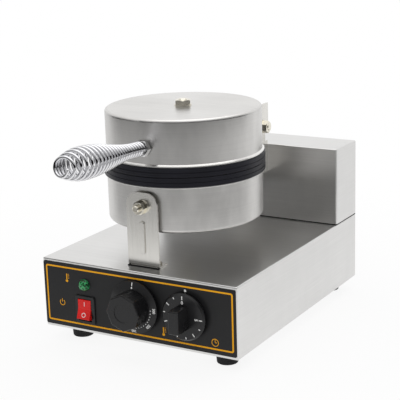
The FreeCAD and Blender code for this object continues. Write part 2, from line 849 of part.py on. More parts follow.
def build_front_bracket():
    """Makes the bent front bracket, its stiffening rib and its fastenings."""
    body = new_body("front_bracket")
    half = "bracket_width / 2"
    top = BRACKET_BOLT_UP + " + bracket_above"
    section = sketch_on(body, "YZ_Plane", "-" + half)
    outline(section, [
        ("0", "0"),
        ("bracket_foot", "0"),
        ("bracket_foot", "bracket_gauge"),
        ("bracket_gauge", "bracket_gauge"),
        ("bracket_gauge", top),
        ("0", top),
    ])
    pad(body, section, "bracket_width")
    rib = sketch_on(body, "XZ_Plane")
    rectangle(rib, "-rib_width / 2", "rib_width / 2", "rib_low", BRACKET_BOLT_UP + " - rib_stop")
    pad(body, rib, "rib_height")
    hole = sketch_on(body, "XZ_Plane")
    circle(hole, "0", BRACKET_BOLT_UP, "bolt_radius + hole_gap")
    pocket(body, hole, "bracket_gauge")
    foot = sketch_on(body, "XY_Plane", "bracket_gauge")
    for side in ("-1", "1"):
        circle(foot, "%s * bracket_screw_span / 2" % side, "bracket_screw_setback", "screw_radius + hole_gap")
    pocket(body, foot, "bracket_gauge")

    def top_corner(edge):
        """Chooses the two upper corners of the upright leg."""
        at_side = near(abs(edge.CenterOfMass.x), value(half))
        return runs_along(edge, Y_AXIS) and at_side and near(edge.CenterOfMass.z, value(top))

    def outer_bend(edge):
        """Chooses the outer edge of the bend at the foot."""
        return runs_along(edge, X_AXIS) and near(edge.CenterOfMass.z, 0) and near(edge.CenterOfMass.y, 0)

    def rib_end(edge):
        """Chooses the upright ends of the rib."""
        on_rib = near(abs(edge.CenterOfMass.x), value("rib_width / 2"))
        return runs_along(edge, Y_AXIS) and on_rib

    def rib_front(edge):
        """Chooses the edges round the rib's front face."""
        level = value("-rib_height")
        return near(edge.BoundBox.YMin, level) and near(edge.BoundBox.YMax, level)

    soften(body, "bracket_corner", top_corner)
    soften(body, "bracket_bend", outer_bend)
    soften(body, "0.45 * rib_width", rib_end)
    soften(body, "rib_rounding", rib_front)
    keep(place(body, "0", BRACKET_Y, BASE_TOP), "front_bracket")

    screws = []
    for number, side in enumerate(("-1", "1"), start=1):
        length = "bracket_gauge + sheet_gauge + screw_nut_height + thread_end"
        item = screw("bracket_foot_screw_%d" % number, "screw_radius", length,
                     "screw_head_radius", "screw_head_height")
        across = "%s * bracket_screw_span / 2" % side
        along = BRACKET_Y + " + bracket_screw_setback"
        screws.append(place(item, across, along, BASE_TOP + " + bracket_gauge"))
        nut = hex_nut("bracket_foot_nut_%d" % number, "screw_nut_flats", "screw_nut_height", "screw_radius")
        screws.append(place(nut, across, along, BASE_TOP + " - sheet_gauge", DOWNWARD))
    group("bracket_foot_screws", screws)

    bolt_up = "%s + %s" % (BASE_TOP, BRACKET_BOLT_UP)
    inner_face = SHELL_FRONT + " + shell_gauge + curve_gap"
    grip = "(%s - %s)" % (inner_face, BRACKET_Y)
    reach = grip + " + bolt_washer_gauge + bolt_nut_height + bolt_end"
    bolt = hex_bolt("bracket_bolt", "bolt_flats", "bolt_head_height", "bolt_radius", reach)
    keep(place(bolt, "0", inner_face, bolt_up, TO_BACK), "bracket_bolt")
    ring = washer("bracket_washer", "bolt_radius + hole_gap", "bolt_washer_radius", "bolt_washer_gauge")
    bolt_washers.append(place(ring, "0", BRACKET_Y, bolt_up, TO_FRONT))
    nut = hex_nut("bracket_nut", "bolt_flats", "bolt_nut_height", "bolt_radius")
    bolt_nuts.append(place(nut, "0", BRACKET_Y + " - bolt_washer_gauge", bolt_up, TO_FRONT))
    tube = washer("bracket_spacer", "bolt_radius + hole_gap", "spacer_radius", "spacer_length")
    keep(place(tube, "0", BRACKET_Y + " + bracket_gauge", bolt_up, TO_BACK), "bracket_spacer")


def build_shell(name, front_across, front_up, front_radius, back_ups, flipped):
    """Spins one pan shell, closed away from the plate, with its side holes."""
    hole = "stud_radius + hole_gap"
    bottom = "-shell_height"
    inside = "(pan_radius - shell_gauge)"
    shell = turned(name, [
        (hole, bottom),
        ("pan_radius", bottom),
        ("pan_radius", "-lip_height"),
        ("pan_radius + lip_reach", "-lip_height"),
        ("pan_radius + lip_reach", "0"),
        (inside, "0"),
        (inside, "shell_gauge - shell_height"),
        (hole, "shell_gauge - shell_height"),
    ])
    soften(shell, "shell_rounding", lambda edge: is_ring(edge, "pan_radius", bottom))
    inner_bottom = "shell_gauge - shell_height"
    soften(shell, "shell_rounding - shell_gauge", lambda edge: is_ring(edge, inside, inner_bottom))
    lip = "pan_radius + lip_reach"
    soften(shell, "lip_rounding", lambda edge: is_ring(edge, lip, "-lip_height") or is_ring(edge, lip, "0"))
    front = sketch_on(shell, "XZ_Plane")
    circle(front, front_across, front_up, front_radius)
    pocket(shell, front, "pan_radius + lip_reach", reverse=not flipped)
    back = sketch_on(shell, "XZ_Plane")
    for up in back_ups:
        circle(back, "0", up, "small_radius + hole_gap")
    pocket(shell, back, "pan_radius + lip_reach", reverse=flipped)
    return shell


def build_plate(name):
    """Casts one baking plate and cuts the waffle grooves into its face."""
    bore = "stud_radius + thread_gap"
    floor = "plate_edge - waffle_drop"
    blank = turned(name + "_blank", [
        ("0", "stud_bite + blind_gap"),
        (bore, "stud_bite + blind_gap"),
        (bore, "-spigot_depth"),
        (SPIGOT_RADIUS, "-spigot_depth"),
        (SPIGOT_RADIUS, "0"),
        (PLATE_RADIUS, "0"),
        (PLATE_RADIUS, "plate_edge / 2 - rim_groove_width / 2"),
        (PLATE_RADIUS + " - rim_groove_depth", "plate_edge / 2 - rim_groove_width / 2"),
        (PLATE_RADIUS + " - rim_groove_depth", "plate_edge / 2 + rim_groove_width / 2"),
        (PLATE_RADIUS, "plate_edge / 2 + rim_groove_width / 2"),
        (PLATE_RADIUS, "plate_edge"),
        (WAFFLE_RADIUS, "plate_edge"),
        (WAFFLE_RADIUS, floor),
        ("0", floor),
    ])

    def outer_rim(edge):
        """Chooses the two outer rims of the plate."""
        return is_ring(edge, PLATE_RADIUS, "plate_edge") or is_ring(edge, PLATE_RADIUS, "0")

    soften(blank, "plate_rounding", outer_rim)
    count = int(value("2 * %s / groove_pitch" % WAFFLE_RADIUS))
    first = -0.5 * (count - 1)
    bars = []
    for direction in ("across", "along"):
        for number in range(count):
            bar = doc.addObject("Part::Box", "%s_groove_%s_%d" % (name, direction, number))
            bar.setExpression("Length", bind("2 * " + WAFFLE_RADIUS))
            bar.setExpression("Width", bind("2 * groove_depth"))
            bar.setExpression("Height", bind("2 * groove_depth"))
            offset = "%.1f * groove_pitch" % (first + number)
            low = floor + " - groove_depth"
            if direction == "across":
                turn = FreeCAD.Rotation(X_AXIS, 45)
                bars.append(place(bar, "-" + WAFFLE_RADIUS, offset, low, turn))
            else:
                turn = FreeCAD.Rotation(Z_AXIS, 90).multiply(FreeCAD.Rotation(X_AXIS, 45))
                bars.append(place(bar, offset, "-" + WAFFLE_RADIUS, low, turn))
    grid = doc.addObject("Part::MultiFuse", name + "_grid")
    grid.Shapes = bars
    limit = doc.addObject("Part::Cylinder", name + "_limit")
    limit.setExpression("Radius", bind(WAFFLE_RADIUS + " - waffle_margin"))
    limit.setExpression("Height", bind("2 * plate_edge"))
    inside = doc.addObject("Part::Common", name + "_grooves")
    inside.Base = grid
    inside.Tool = limit
    plate = doc.addObject("Part::Cut", name)
    plate.Base = blank
    plate.Tool = inside
    return plate


def mirror_plate():
    """Makes the lid's plate as the mirror image of the lower one across the parting face."""
    plate = doc.addObject("Part::Mirroring", "upper_plate")
    plate.Source = next(item for item in nodes if item.Label == "lower_plate")
    plate.Normal = Z_AXIS
    plate.setExpression("Base.z", bind(LOWER_RIM + " + plate_edge + plate_gap / 2"))
    keep(plate, "upper_plate")


def build_heater(name):
    """Bends the tubular heater with its two terminal posts."""
    ring = doc.addObject("Part::Torus", name + "_ring")
    ring.setExpression("Radius1", bind("heater_ring_radius"))
    ring.setExpression("Radius2", bind("heater_radius"))
    ring.setExpression("Angle3", bind("360 - heater_opening"))
    ring.setExpression("Placement.Rotation.Angle", bind("90 + heater_opening / 2"))
    posts = []
    for number, angle in enumerate(("(90 - heater_opening / 2)", "(90 + heater_opening / 2)"), start=1):
        post = doc.addObject("Part::Cylinder", "%s_post_%d" % (name, number))
        post.setExpression("Radius", bind("heater_post_radius"))
        post.setExpression("Height", bind("heater_post_height"))
        across = "heater_ring_radius * cos(%s * 1 deg)" % angle
        along = "heater_ring_radius * sin(%s * 1 deg)" % angle
        posts.append(place(post, across, along, "-heater_post_height"))
    heater = doc.addObject("Part::MultiFuse", name)
    heater.Shapes = [ring] + posts
    return heater


def build_clamp(name):
    """Makes the bar that presses the heater to the plate."""
    bar = new_body(name)
    face = sketch_on(bar, "XY_Plane")
    rectangle(face, "-" + CLAMP_HALF, CLAMP_HALF, "-clamp_width / 2", "clamp_width / 2")
    circle(face, "0", "0", "stud_radius + hole_gap")
    pad(bar, face, "clamp_gauge", reverse=True)
    soften(bar, "clamp_width / 4", lambda edge: runs_along(edge, Z_AXIS) and abs(edge.CenterOfMass.x) > 1)
    return bar


def build_insulation(name):
    """Makes the insulating disc that lies on the shell's closed end."""
    radius = "(pan_radius - shell_gauge - insulation_gap)"
    disc = washer(name, "stud_radius + insulation_gap", radius, INSULATION_HEIGHT)
    chamfer = "min(insulation_chamfer; %s / 2)" % INSULATION_HEIGHT
    soften(disc, chamfer, lambda edge: is_ring(edge, radius, "0"), "PartDesign::Chamfer")
    return disc


def build_pan_half(prefix, rim, flipped):
    """Builds one half of the pan, with its plate towards the parting face."""
    def stand(item, up, turned_over=False):
        """Places a piece of this half by its height from the rim."""
        over = flipped != turned_over
        level = "%s - (%s)" % (rim, up) if flipped else "%s + %s" % (rim, up)
        return place(item, "0", PAN_Y, level, DOWNWARD if over else UPRIGHT)

    def seat(item, label, up, turned_over=False):
        """Places a piece of this half and keeps it."""
        return keep(stand(item, up, turned_over), label)

    if flipped:
        front_across = HANDLE_ACROSS
        front_up = "-handle_up"
        front_radius = "handle_rod_radius + handle_hole_gap"
        back_ups = ["%s - %s - %s" % (rim, PIVOT_Z, up) for up in (ARM_BOLT_LOW, ARM_BOLT_HIGH)]
    else:
        front_across = "0"
        front_up = "%s + %s - %s" % (BASE_TOP, BRACKET_BOLT_UP, rim)
        front_radius = "bolt_radius + hole_gap"
        back_ups = ["%s + %s - %s" % (BASE_TOP, up, rim) for up in (WEB_BOLT_LOW, WEB_BOLT_HIGH)]
    shell = build_shell(prefix + "_shell", front_across, front_up, front_radius, back_ups, flipped)
    seat(shell, prefix + "_shell", "0")
    if not flipped:
        seat(build_plate(prefix + "_plate"), prefix + "_plate", "0")
    seat(build_heater(prefix + "_heater"), prefix + "_heater", "-spigot_depth - heater_radius")
    seat(build_clamp(prefix + "_clamp"), prefix + "_clamp", CLAMP_TOP)
    disc = build_insulation(prefix + "_insulation")
    seat(disc, prefix + "_insulation", "shell_gauge - shell_height")
    outer_seat = "-shell_height"
    nut_seat = outer_seat + " - large_washer_gauge"
    stud_low = nut_seat + " - large_nut_height - stud_end"
    stud = turned(prefix + "_stud", [
        ("0", stud_low),
        ("stud_radius - bolt_tip", stud_low),
        ("stud_radius", stud_low + " + bolt_tip"),
        ("stud_radius", "stud_bite"),
        ("0", "stud_bite"),
    ])
    seat(stud, prefix + "_stud", "0")
    ring = washer(prefix + "_washer", "stud_radius + hole_gap", "large_washer_radius", "large_washer_gauge")
    seat(ring, prefix + "_washer", outer_seat, turned_over=True)
    outer_nut = hex_nut(prefix + "_nut", "large_flats", "large_nut_height", "stud_radius")
    inner_nut = hex_nut(prefix + "_clamp_nut", "large_flats", "large_nut_height", "stud_radius")
    stand(outer_nut, nut_seat, turned_over=True)
    stand(inner_nut, CLAMP_UNDER, turned_over=True)
    group(prefix + "_nuts", [outer_nut, inner_nut])


def build_bulb():
    """Makes the temperature bulb that lies against the lower plate."""
    bulb = turned("thermostat_bulb", [
        ("0", "-bulb_length / 2"),
        ("bulb_radius", "-bulb_length / 2"),
        ("bulb_radius", "bulb_length / 2"),
        ("0", "bulb_length / 2"),
    ])
    up = LOWER_RIM + " - spigot_depth - bulb_radius"
    keep(place(bulb, "bulb_across", PAN_Y, up, TO_BACK), "thermostat_bulb")


def flange_bolt_places():
    """Lists the bolts that hold the hinge bracket to the rear housing."""
    places = []
    for side in ("-1", "1"):
        across = "%s * (hinge_span / 2 - cheek_flange / 2)" % side
        places.append((across, FLANGE_BOLT_LOW))
        places.append((across, FLANGE_BOLT_HIGH))
    return places


def build_hinge_bracket():
    """Makes the fixed hinge bracket between the lower shell and the rear housing."""
    body = new_body("hinge_bracket")
    web = sketch_on(body, "XZ_Plane")
    half = "hinge_span / 2"
    rectangle(web, "-%s - hinge_gauge" % half, half + " + hinge_gauge", WEB_LOW, WEB_HIGH)
    pad(body, web, "hinge_gauge", reverse=True)
    for lift in (half, "-%s - hinge_gauge" % half):
        cheek = sketch_on(body, "YZ_Plane", lift)
        outline(cheek, [
            ("0", WEB_LOW),
            ("neck_length", FLANGE_LOW),
            ("neck_length", FLANGE_HIGH),
            (PIVOT_IN_NECK + " + cheek_radius", FLANGE_HIGH),
            (PIVOT_IN_NECK + " + cheek_radius", PIVOT_HEIGHT),
            (PIVOT_IN_NECK + " - cheek_radius", PIVOT_HEIGHT),
            (PIVOT_IN_NECK + " - cheek_radius", FLANGE_HIGH),
            ("cheek_step", WEB_HIGH),
            ("0", WEB_HIGH),
        ])
        pad(body, cheek, "hinge_gauge")
        eye = sketch_on(body, "YZ_Plane", lift)
        circle(eye, PIVOT_IN_NECK, PIVOT_HEIGHT, "cheek_radius")
        pad(body, eye, "hinge_gauge")
    for side in ("-1", "1"):
        tab = sketch_on(body, "XZ_Plane", "-neck_length")
        outer = "%s * hinge_span / 2" % side
        inner = "%s * (hinge_span / 2 - cheek_flange)" % side
        rectangle(tab, inner, outer, FLANGE_LOW, FLANGE_HIGH)
        pad(body, tab, "hinge_gauge")
    pivot = sketch_on(body, "YZ_Plane", "hinge_span")
    circle(pivot, PIVOT_IN_NECK, PIVOT_HEIGHT, "bolt_radius + running_gap")
    pocket(body, pivot, "2 * hinge_span")
    front_holes = sketch_on(body, "XZ_Plane")
    for up in (WEB_BOLT_LOW, WEB_BOLT_HIGH):
        circle(front_holes, "0", up, "small_radius + hole_gap")
    pocket(body, front_holes, "hinge_gauge")
    back_holes = sketch_on(body, "XZ_Plane", "hinge_gauge - neck_length")
    for across, up in flange_bolt_places():
        circle(back_holes, across, up, "screw_radius + hole_gap")
    pocket(body, back_holes, "hinge_gauge")
    keep(place(body, "0", SHELL_BACK, BASE_TOP), "hinge_bracket")

    fixings = []
    for number, up in enumerate((WEB_BOLT_LOW, WEB_BOLT_HIGH), start=1):
        fixings += shell_fixing("hinge_bracket", number, BASE_TOP + " + " + up)
    group("hinge_bracket_bolts", fixings)
    flange_screws = []
    for number, (across, up) in enumerate(flange_bolt_places(), start=1):
        level = "%s + %s" % (BASE_TOP, up)
        length = "hinge_gauge + sheet_gauge + screw_nut_height + thread_end"
        item = screw("flange_screw_%d" % number, "screw_radius", length, "screw_head_radius", "screw_head_height")
        flange_screws.append(place(item, across, REAR_Y + " - hinge_gauge", level, TO_FRONT))
        nut = hex_nut("flange_nut_%d" % number, "screw_nut_flats", "screw_nut_height", "screw_radius")
        flange_screws.append(place(nut, across, REAR_Y + " + sheet_gauge", level, TO_BACK))
    group("hinge_flange_screws", flange_screws)


def shell_fixing(name, number, up):
    """Makes a bolt through a bracket's web and a pan shell, with its nut inside."""
    inside = "(shell_gauge + curve_gap)"
    length = "hinge_gauge + %s + small_nut_height + thread_end" % inside
    bolt = hex_bolt("%s_bolt_%d" % (name, number), "small_flats", "small_head_height", "small_radius", length)
    place(bolt, "0", SHELL_BACK + " + hinge_gauge", up, TO_BACK)
    nut = hex_nut("%s_nut_%d" % (name, number), "small_flats", "small_nut_height", "small_radius")
    place(nut, "0", "%s - %s" % (SHELL_BACK, inside), up, TO_FRONT)
    return [bolt, nut]


def build_hinge_arm():
    """Makes the moving hinge arm on the lid and its bolts."""
    body = new_body("hinge_arm")
    web = sketch_on(body, "XZ_Plane")
    rectangle(web, "-" + ARM_OUTSIDE, ARM_OUTSIDE, ARM_WEB_LOW, ARM_HIGH)
    pad(body, web, "hinge_gauge", reverse=True)
    tail = PIVOT_IN_NECK + " + arm_tail"
    for lift in (ARM_INSIDE, "-" + ARM_OUTSIDE):
        ear = sketch_on(body, "YZ_Plane", lift)
        outline(ear, [
            ("0", ARM_WEB_LOW),
            (PIVOT_IN_NECK + " - arm_tail", "-arm_low"),
            (tail, "-arm_low"),
            (tail, ARM_HIGH),
            ("0", ARM_HIGH),
        ])
        pad(body, ear, "hinge_gauge")
    pivot = sketch_on(body, "YZ_Plane", "hinge_span")
    circle(pivot, PIVOT_IN_NECK, "0", "bolt_radius + running_gap")
    pocket(body, pivot, "2 * hinge_span")
    holes = sketch_on(body, "XZ_Plane")
    for up in (ARM_BOLT_LOW, ARM_BOLT_HIGH):
        circle(holes, "0", up, "small_radius + hole_gap")
    pocket(body, holes, "hinge_gauge")

    def low_tail(edge):
        """Chooses the lower rear corners of the two ears."""
        at_tail = near(edge.CenterOfMass.y, value(tail))
        return runs_along(edge, X_AXIS) and at_tail and near(edge.CenterOfMass.z, value("-arm_low"))

    soften(body, "arm_corner", low_tail)
    keep(place(body, "0", SHELL_BACK, PIVOT_Z), "hinge_arm")

    fixings = []
    for number, up in enumerate((ARM_BOLT_LOW, ARM_BOLT_HIGH), start=1):
        fixings += shell_fixing("hinge_arm", number, PIVOT_Z + " + " + up)
    group("hinge_arm_bolts", fixings)


def build_pivot():
    """Makes the hinge bolt with its washers, nut and distance tube."""
    seat = "(%s + bolt_washer_gauge)" % WASHER_SEAT
    length = "2 * %s + bolt_nut_height + hinge_bolt_end" % seat
    bolt = hex_bolt("hinge_bolt", "bolt_flats", "bolt_head_height", "bolt_radius", length)
    keep(place(bolt, "-" + seat, PIVOT_Y, PIVOT_Z, TO_LEFT), "hinge_bolt")
    nut = hex_nut("hinge_nut", "bolt_flats", "bolt_nut_height", "bolt_radius")
    bolt_nuts.append(place(nut, seat, PIVOT_Y, PIVOT_Z, TO_RIGHT))
    for number, (side, turn) in enumerate((("-", TO_LEFT), ("", TO_RIGHT)), start=1):
        ring = washer("hinge_washer_%d" % number, "bolt_radius + running_gap",
                      "bolt_washer_radius", "bolt_washer_gauge")
        bolt_washers.append(place(ring, side + WASHER_SEAT, PIVOT_Y, PIVOT_Z, turn))
    tube = washer("hinge_tube", "bolt_radius + running_gap", "hinge_tube_radius", "hinge_span")
    keep(place(tube, "-hinge_span / 2", PIVOT_Y, PIVOT_Z, TO_RIGHT), "hinge_tube")


def handle_frame(advance):
    """Gives the placement of a handle piece, some way out along the handle's axis."""
    bearing = math.radians(value("handle_turn"))
    tilt = math.radians(value("handle_tilt"))
    outward = FreeCAD.Vector(math.sin(bearing), -math.cos(bearing), 0)
    entry = FreeCAD.Vector(0, value(PAN_Y), value(UPPER_RIM + " + handle_up"))
    entry += outward * value("pan_radius")
    axis = outward * math.cos(tilt) + Z_AXIS * math.sin(tilt)
    return FreeCAD.Placement(entry + axis * advance, FreeCAD.Rotation(Z_AXIS, axis))


def build_handle():
    """Makes the handle rod, its two nuts and the wound wire grip."""
    rod = turned("handle_rod", [
        ("0", "-handle_rod_inner"),
        ("handle_rod_radius", "-handle_rod_inner"),
        ("handle_rod_radius", "handle_rod_outer"),
        ("0", "handle_rod_outer"),
    ])
    rod.Placement = handle_frame(0)
    keep(rod, "handle_rod")
    nuts = []
    inner_seat = "-shell_gauge - handle_nut_inner_gap - handle_nut_height"
    for number, seat in enumerate(("handle_nut_gap", inner_seat), start=1):
        nut = hex_nut("handle_nut_%d" % number, "large_flats", "handle_nut_height", "handle_rod_radius")
        nut.Placement = handle_frame(value(seat))
        nuts.append(nut)
    group("handle_nuts", nuts)
    coil = doc.addObject("Part::Feature", "handle_coil")
    coil.Shape = wound_wire()
    coil.Placement = handle_frame(value(COIL_START))
    keep(coil, "handle_coil")


def coil_radius(way):
    """Gives the winding radius some way along the grip: slim root, belly, drawn-in tip."""
    root = value(COIL_ROOT_RADIUS)
    belly = value("coil_belly_radius - coil_wire_radius")
    tip = value("coil_tip_radius - coil_wire_radius")
    straight = value("coil_root_straight")
    belly_way = value("coil_belly_share * coil_length")
    if way < straight:
        return root
    if way < belly_way:
        share = (way - straight) / (belly_way - straight)
        return root + (belly - root) * 0.5 * (1 - math.cos(math.pi * share))
    share = (way - belly_way) / (value("coil_length") - belly_way)
    return belly - (belly - tip) * (1 - math.cos(0.5 * math.pi * share))


def wound_wire():
    """Winds the grip's wire with a growing pitch and a swelling radius."""
    turns = value("coil_turns")
    wire = value("coil_wire_radius")
    first_pitch = value("coil_first_pitch")
    run = value("coil_length") - 2 * wire
    growth = 2 * (run / turns - first_pitch) / turns
    steps = int(round(turns * COIL_STEPS_PER_TURN))

    def point(turn):
        """Gives the wire's middle after a number of turns."""
        way = wire + first_pitch * turn + 0.5 * growth * turn * turn
        radius = coil_radius(way)
        angle = 2 * math.pi * turn
        return FreeCAD.Vector(radius * math.cos(angle), radius * math.sin(angle), way)

    sections = []
    for step in range(steps + 1):
        turn = turns * step / steps
        middle = point(turn)
        tangent = (point(turn + 0.01) - point(turn - 0.01)).normalize()
        outward = FreeCAD.Vector(middle.x, middle.y, 0).normalize()
        side = tangent.cross(outward).normalize()
        outward = side.cross(tangent)
        corners = []
        for corner in range(COIL_SIDES):
            angle = 2 * math.pi * (corner + 0.5) / COIL_SIDES
            corners.append(middle + outward * (wire * math.cos(angle)) + side * (wire * math.sin(angle)))
        sections.append(Part.makePolygon(corners + corners[:1]))
    return Part.makeLoft(sections, True, True)


def blades(body, places, up):
    """Adds flat terminal blades that point inward from one depth."""
    for across, along in places:
        face = sketch_on(body, "XY_Plane", up)
        rectangle(face, "%s - blade_width / 2" % across, "%s + blade_width / 2" % across,
                  "%s - blade_gauge / 2" % along, "%s + blade_gauge / 2" % along)
        pad(body, face, "blade_length", reverse=True)


def build_switch():
    """Makes the switch with its bezel and the rocker that tilts in it."""
    body = new_body("switch_body")
    bezel = sketch_on(body, "XY_Plane")
    rectangle(bezel, "-" + BEZEL_HALF_WIDTH, BEZEL_HALF_WIDTH, "-" + BEZEL_HALF_HEIGHT, BEZEL_HALF_HEIGHT)
    pad(body, bezel, "switch_bezel_reach")
    soften(body, "switch_bezel_corner", lambda edge: runs_along(edge, Z_AXIS))
    soften(body, "switch_bezel_reach / 3",
           lambda edge: near(edge.BoundBox.ZMin, value("switch_bezel_reach")), "PartDesign::Chamfer")
    block = sketch_on(body, "XY_Plane")
    rectangle(block, "-switch_body_width / 2", "switch_body_width / 2",
              "-switch_body_height / 2", "switch_body_height / 2")
    pad(body, block, "switch_body_depth", reverse=True)
    well = sketch_on(body, "XY_Plane", "switch_bezel_reach")
    rectangle(well, "-%s / 2" % WELL_WIDTH, WELL_WIDTH + " / 2", "-%s / 2" % WELL_HEIGHT, WELL_HEIGHT + " / 2")
    pocket(body, well, "switch_well_depth + switch_bezel_reach")
    pivot = sketch_on(body, "YZ_Plane", "switch_body_width / 2")
    circle(pivot, "0", "-switch_pivot_depth", "rocker_pin_radius + running_gap")
    pocket(body, pivot, "switch_body_width")
    across = "switch_body_width / 4"
    along = "switch_body_height / 3"
    places = [("-" + across, "-" + along), (across, "-" + along), ("-" + across, along), (across, along)]
    blades(body, places, "-switch_body_depth")
    up = "foot_height + switch_up"
    keep(place(body, "switch_across", LABEL_FACE, up, TO_FRONT), "switch_body")

    rocker = new_body("switch_rocker")
    side = sketch_on(rocker, "YZ_Plane", "-%s / 2" % ROCKER_WIDTH)
    outline(side, [
        ("-" + ROCKER_HALF, "rocker_end"),
        ("-0.97 * " + ROCKER_HALF, "-0.25 * rocker_end"),
        ("-0.35 * " + ROCKER_HALF, "-0.65 * rocker_end"),
        ("0.35 * " + ROCKER_HALF, "-0.65 * rocker_end"),
        ("0.97 * " + ROCKER_HALF, "-0.25 * rocker_end"),
        (ROCKER_HALF, "rocker_end"),
        ("0", "rocker_dip"),
    ])
    pad(rocker, side, ROCKER_WIDTH)

    def front_edge(edge):
        """Chooses the four long edges at the two ends of the rocker."""
        return runs_along(edge, X_AXIS) and near(edge.CenterOfMass.z, value("rocker_end"))

    soften(rocker, "0.15 * rocker_end", front_edge)
    pin = sketch_on(rocker, "YZ_Plane", "rocker_pin_inset - switch_body_width / 2")
    circle(pin, "0", "0", "rocker_pin_radius")
    pad(rocker, pin, "switch_body_width - 2 * rocker_pin_inset")
    tilted = FreeCAD.Rotation(X_AXIS, 90 - value("rocker_tilt"))
    along = LABEL_FACE + " + switch_pivot_depth"
    keep(place(rocker, "switch_across", along, up, tilted), "switch_rocker")


def build_lamp():
    """Makes the pilot lamp: lens in front of the panel, holder behind it."""
    lens = turned("lamp_lens", [
        ("0", "-lamp_stem_length"),
        ("lamp_stem_radius", "-lamp_stem_length"),
        ("lamp_stem_radius", "0"),
        ("lamp_radius", "0"),
        ("lamp_radius", "0.4 * lamp_reach"),
        ("0.84 * lamp_radius", "0.74 * lamp_reach"),
        ("0.5 * lamp_radius", "0.94 * lamp_reach"),
        ("0", "lamp_reach"),
    ])
    up = "foot_height + " + LAMP_UP
    keep(place(lens, "switch_across", LABEL_FACE, up, TO_FRONT), "lamp_lens")
    inner = "lamp_stem_radius + thread_gap"
    back = "-lamp_holder_length"
    front = "-" + PANEL_DEPTH
    holder = turned("lamp_holder", [
        ("0", back),
        ("lamp_holder_radius", back),
        ("lamp_holder_radius", front),
        (inner, front),
        (inner, "-lamp_stem_length - blind_gap"),
        ("0", "-lamp_stem_length - blind_gap"),
    ])
    blades(holder, [("0", "-lamp_holder_radius / 2"), ("0", "lamp_holder_radius / 2")], back)
    keep(place(holder, "switch_across", LABEL_FACE, up, TO_FRONT), "lamp_holder")


def build_control(name, across, up, wide, tall, deep):
    """Makes a control's body behind the panel, with the shaft that turns in it."""
    body = new_body(name + "_body")
    block = sketch_on(body, "XY_Plane", "-" + PANEL_DEPTH)
    rectangle(block, "-%s / 2" % wide, "%s / 2" % wide, "-%s / 2" % tall, "%s / 2" % tall)
    pad(body, block, deep, reverse=True)
    soften(body, "0.08 * " + wide, lambda edge: runs_along(edge, Z_AXIS))
    bore = sketch_on(body, "XY_Plane", "-" + PANEL_DEPTH)
    circle(bore, "0", "0", "shaft_radius + running_gap")
    pocket(body, bore, "shaft_inner + blind_gap - " + PANEL_DEPTH)
    holes = sketch_on(body, "XY_Plane", "-" + PANEL_DEPTH)
    for side in ("-1", "1"):
        circle(holes, "%s * control_screw_offset" % side, "0", "tapper_radius + thread_gap")
    pocket(body, holes, "tapper_length")
    blades(body, [("-%s / 4" % wide, "0"), ("%s / 4" % wide, "0")], "-%s - %s" % (PANEL_DEPTH, deep))
    level = "foot_height + " + up
    keep(place(body, across, LABEL_FACE, level, TO_FRONT), name + "_body")
    shaft = turned(name + "_shaft", [
        ("0", "-shaft_inner"),
        ("shaft_radius", "-shaft_inner"),
        ("shaft_radius", "shaft_outer"),
        ("0", "shaft_outer"),
    ])
    keep(place(shaft, across, LABEL_FACE, level, TO_FRONT), name + "_shaft")
    screws = []
    for number, side in enumerate(("-1", "1"), start=1):
        item = screw("%s_screw_%d" % (name, number), "tapper_radius", "tapper_length",
                     "tapper_head_radius", "tapper_head_height")
        beside = "%s + %s * control_screw_offset" % (across, side)
        screws.append(place(item, beside, LABEL_FACE, level, TO_FRONT))
    return screws


def build_thermostat_knob():
    """Makes the thermostat knob: a scale skirt with an eight-sided grip on it."""
    bore = "shaft_radius + thread_gap"
    face = "(%s + thermostat_skirt_height)" % CONTROL_LIFT
    bore_end = CONTROL_LIFT + " + 0.8 * thermostat_skirt_height"
    crown = corner_reach("thermostat_grip_flats", 8) + " + thermostat_grip_flare"
    knob = turned("thermostat_knob", [
        (bore, CONTROL_LIFT),
        ("0.97 * thermostat_skirt_radius", CONTROL_LIFT),
        ("thermostat_skirt_radius", CONTROL_LIFT + " + 0.3 * thermostat_skirt_height"),
        ("thermostat_skirt_radius", CONTROL_LIFT + " + 0.6 * thermostat_skirt_height"),
        (crown, face),
        ("0", face),
        ("0", bore_end),
        (bore, bore_end),
    ])
    grip = sketch_on(knob, "XY_Plane", face)
    polygon(grip, "thermostat_grip_flats", 8)
    pad(knob, grip, "thermostat_reach - " + face)

    def grip_corner(edge):
        """Chooses the eight upright corners of the grip."""
        return runs_along(edge, Z_AXIS) and edge.CenterOfMass.z > value(face)

    soften(knob, "thermostat_grip_corner", grip_corner)
    soften(knob, "knob_rounding", lambda edge: near(edge.BoundBox.ZMin, value("thermostat_reach")))
    dish = sketch_on(knob, "XY_Plane", "thermostat_reach")
    circle(dish, "0", "0", "thermostat_dish_radius")
    pocket(knob, dish, "thermostat_dish_depth")
    hollow = sketch_on(knob, "XY_Plane", CONTROL_LIFT)
    circle(hollow, "0", "0", bore)
    pocket(knob, hollow, "shaft_outer - " + CONTROL_LIFT, reverse=True)
    level = "foot_height + thermostat_up"
    keep(place(knob, "0", LABEL_FACE, level, TO_FRONT), "thermostat_knob")


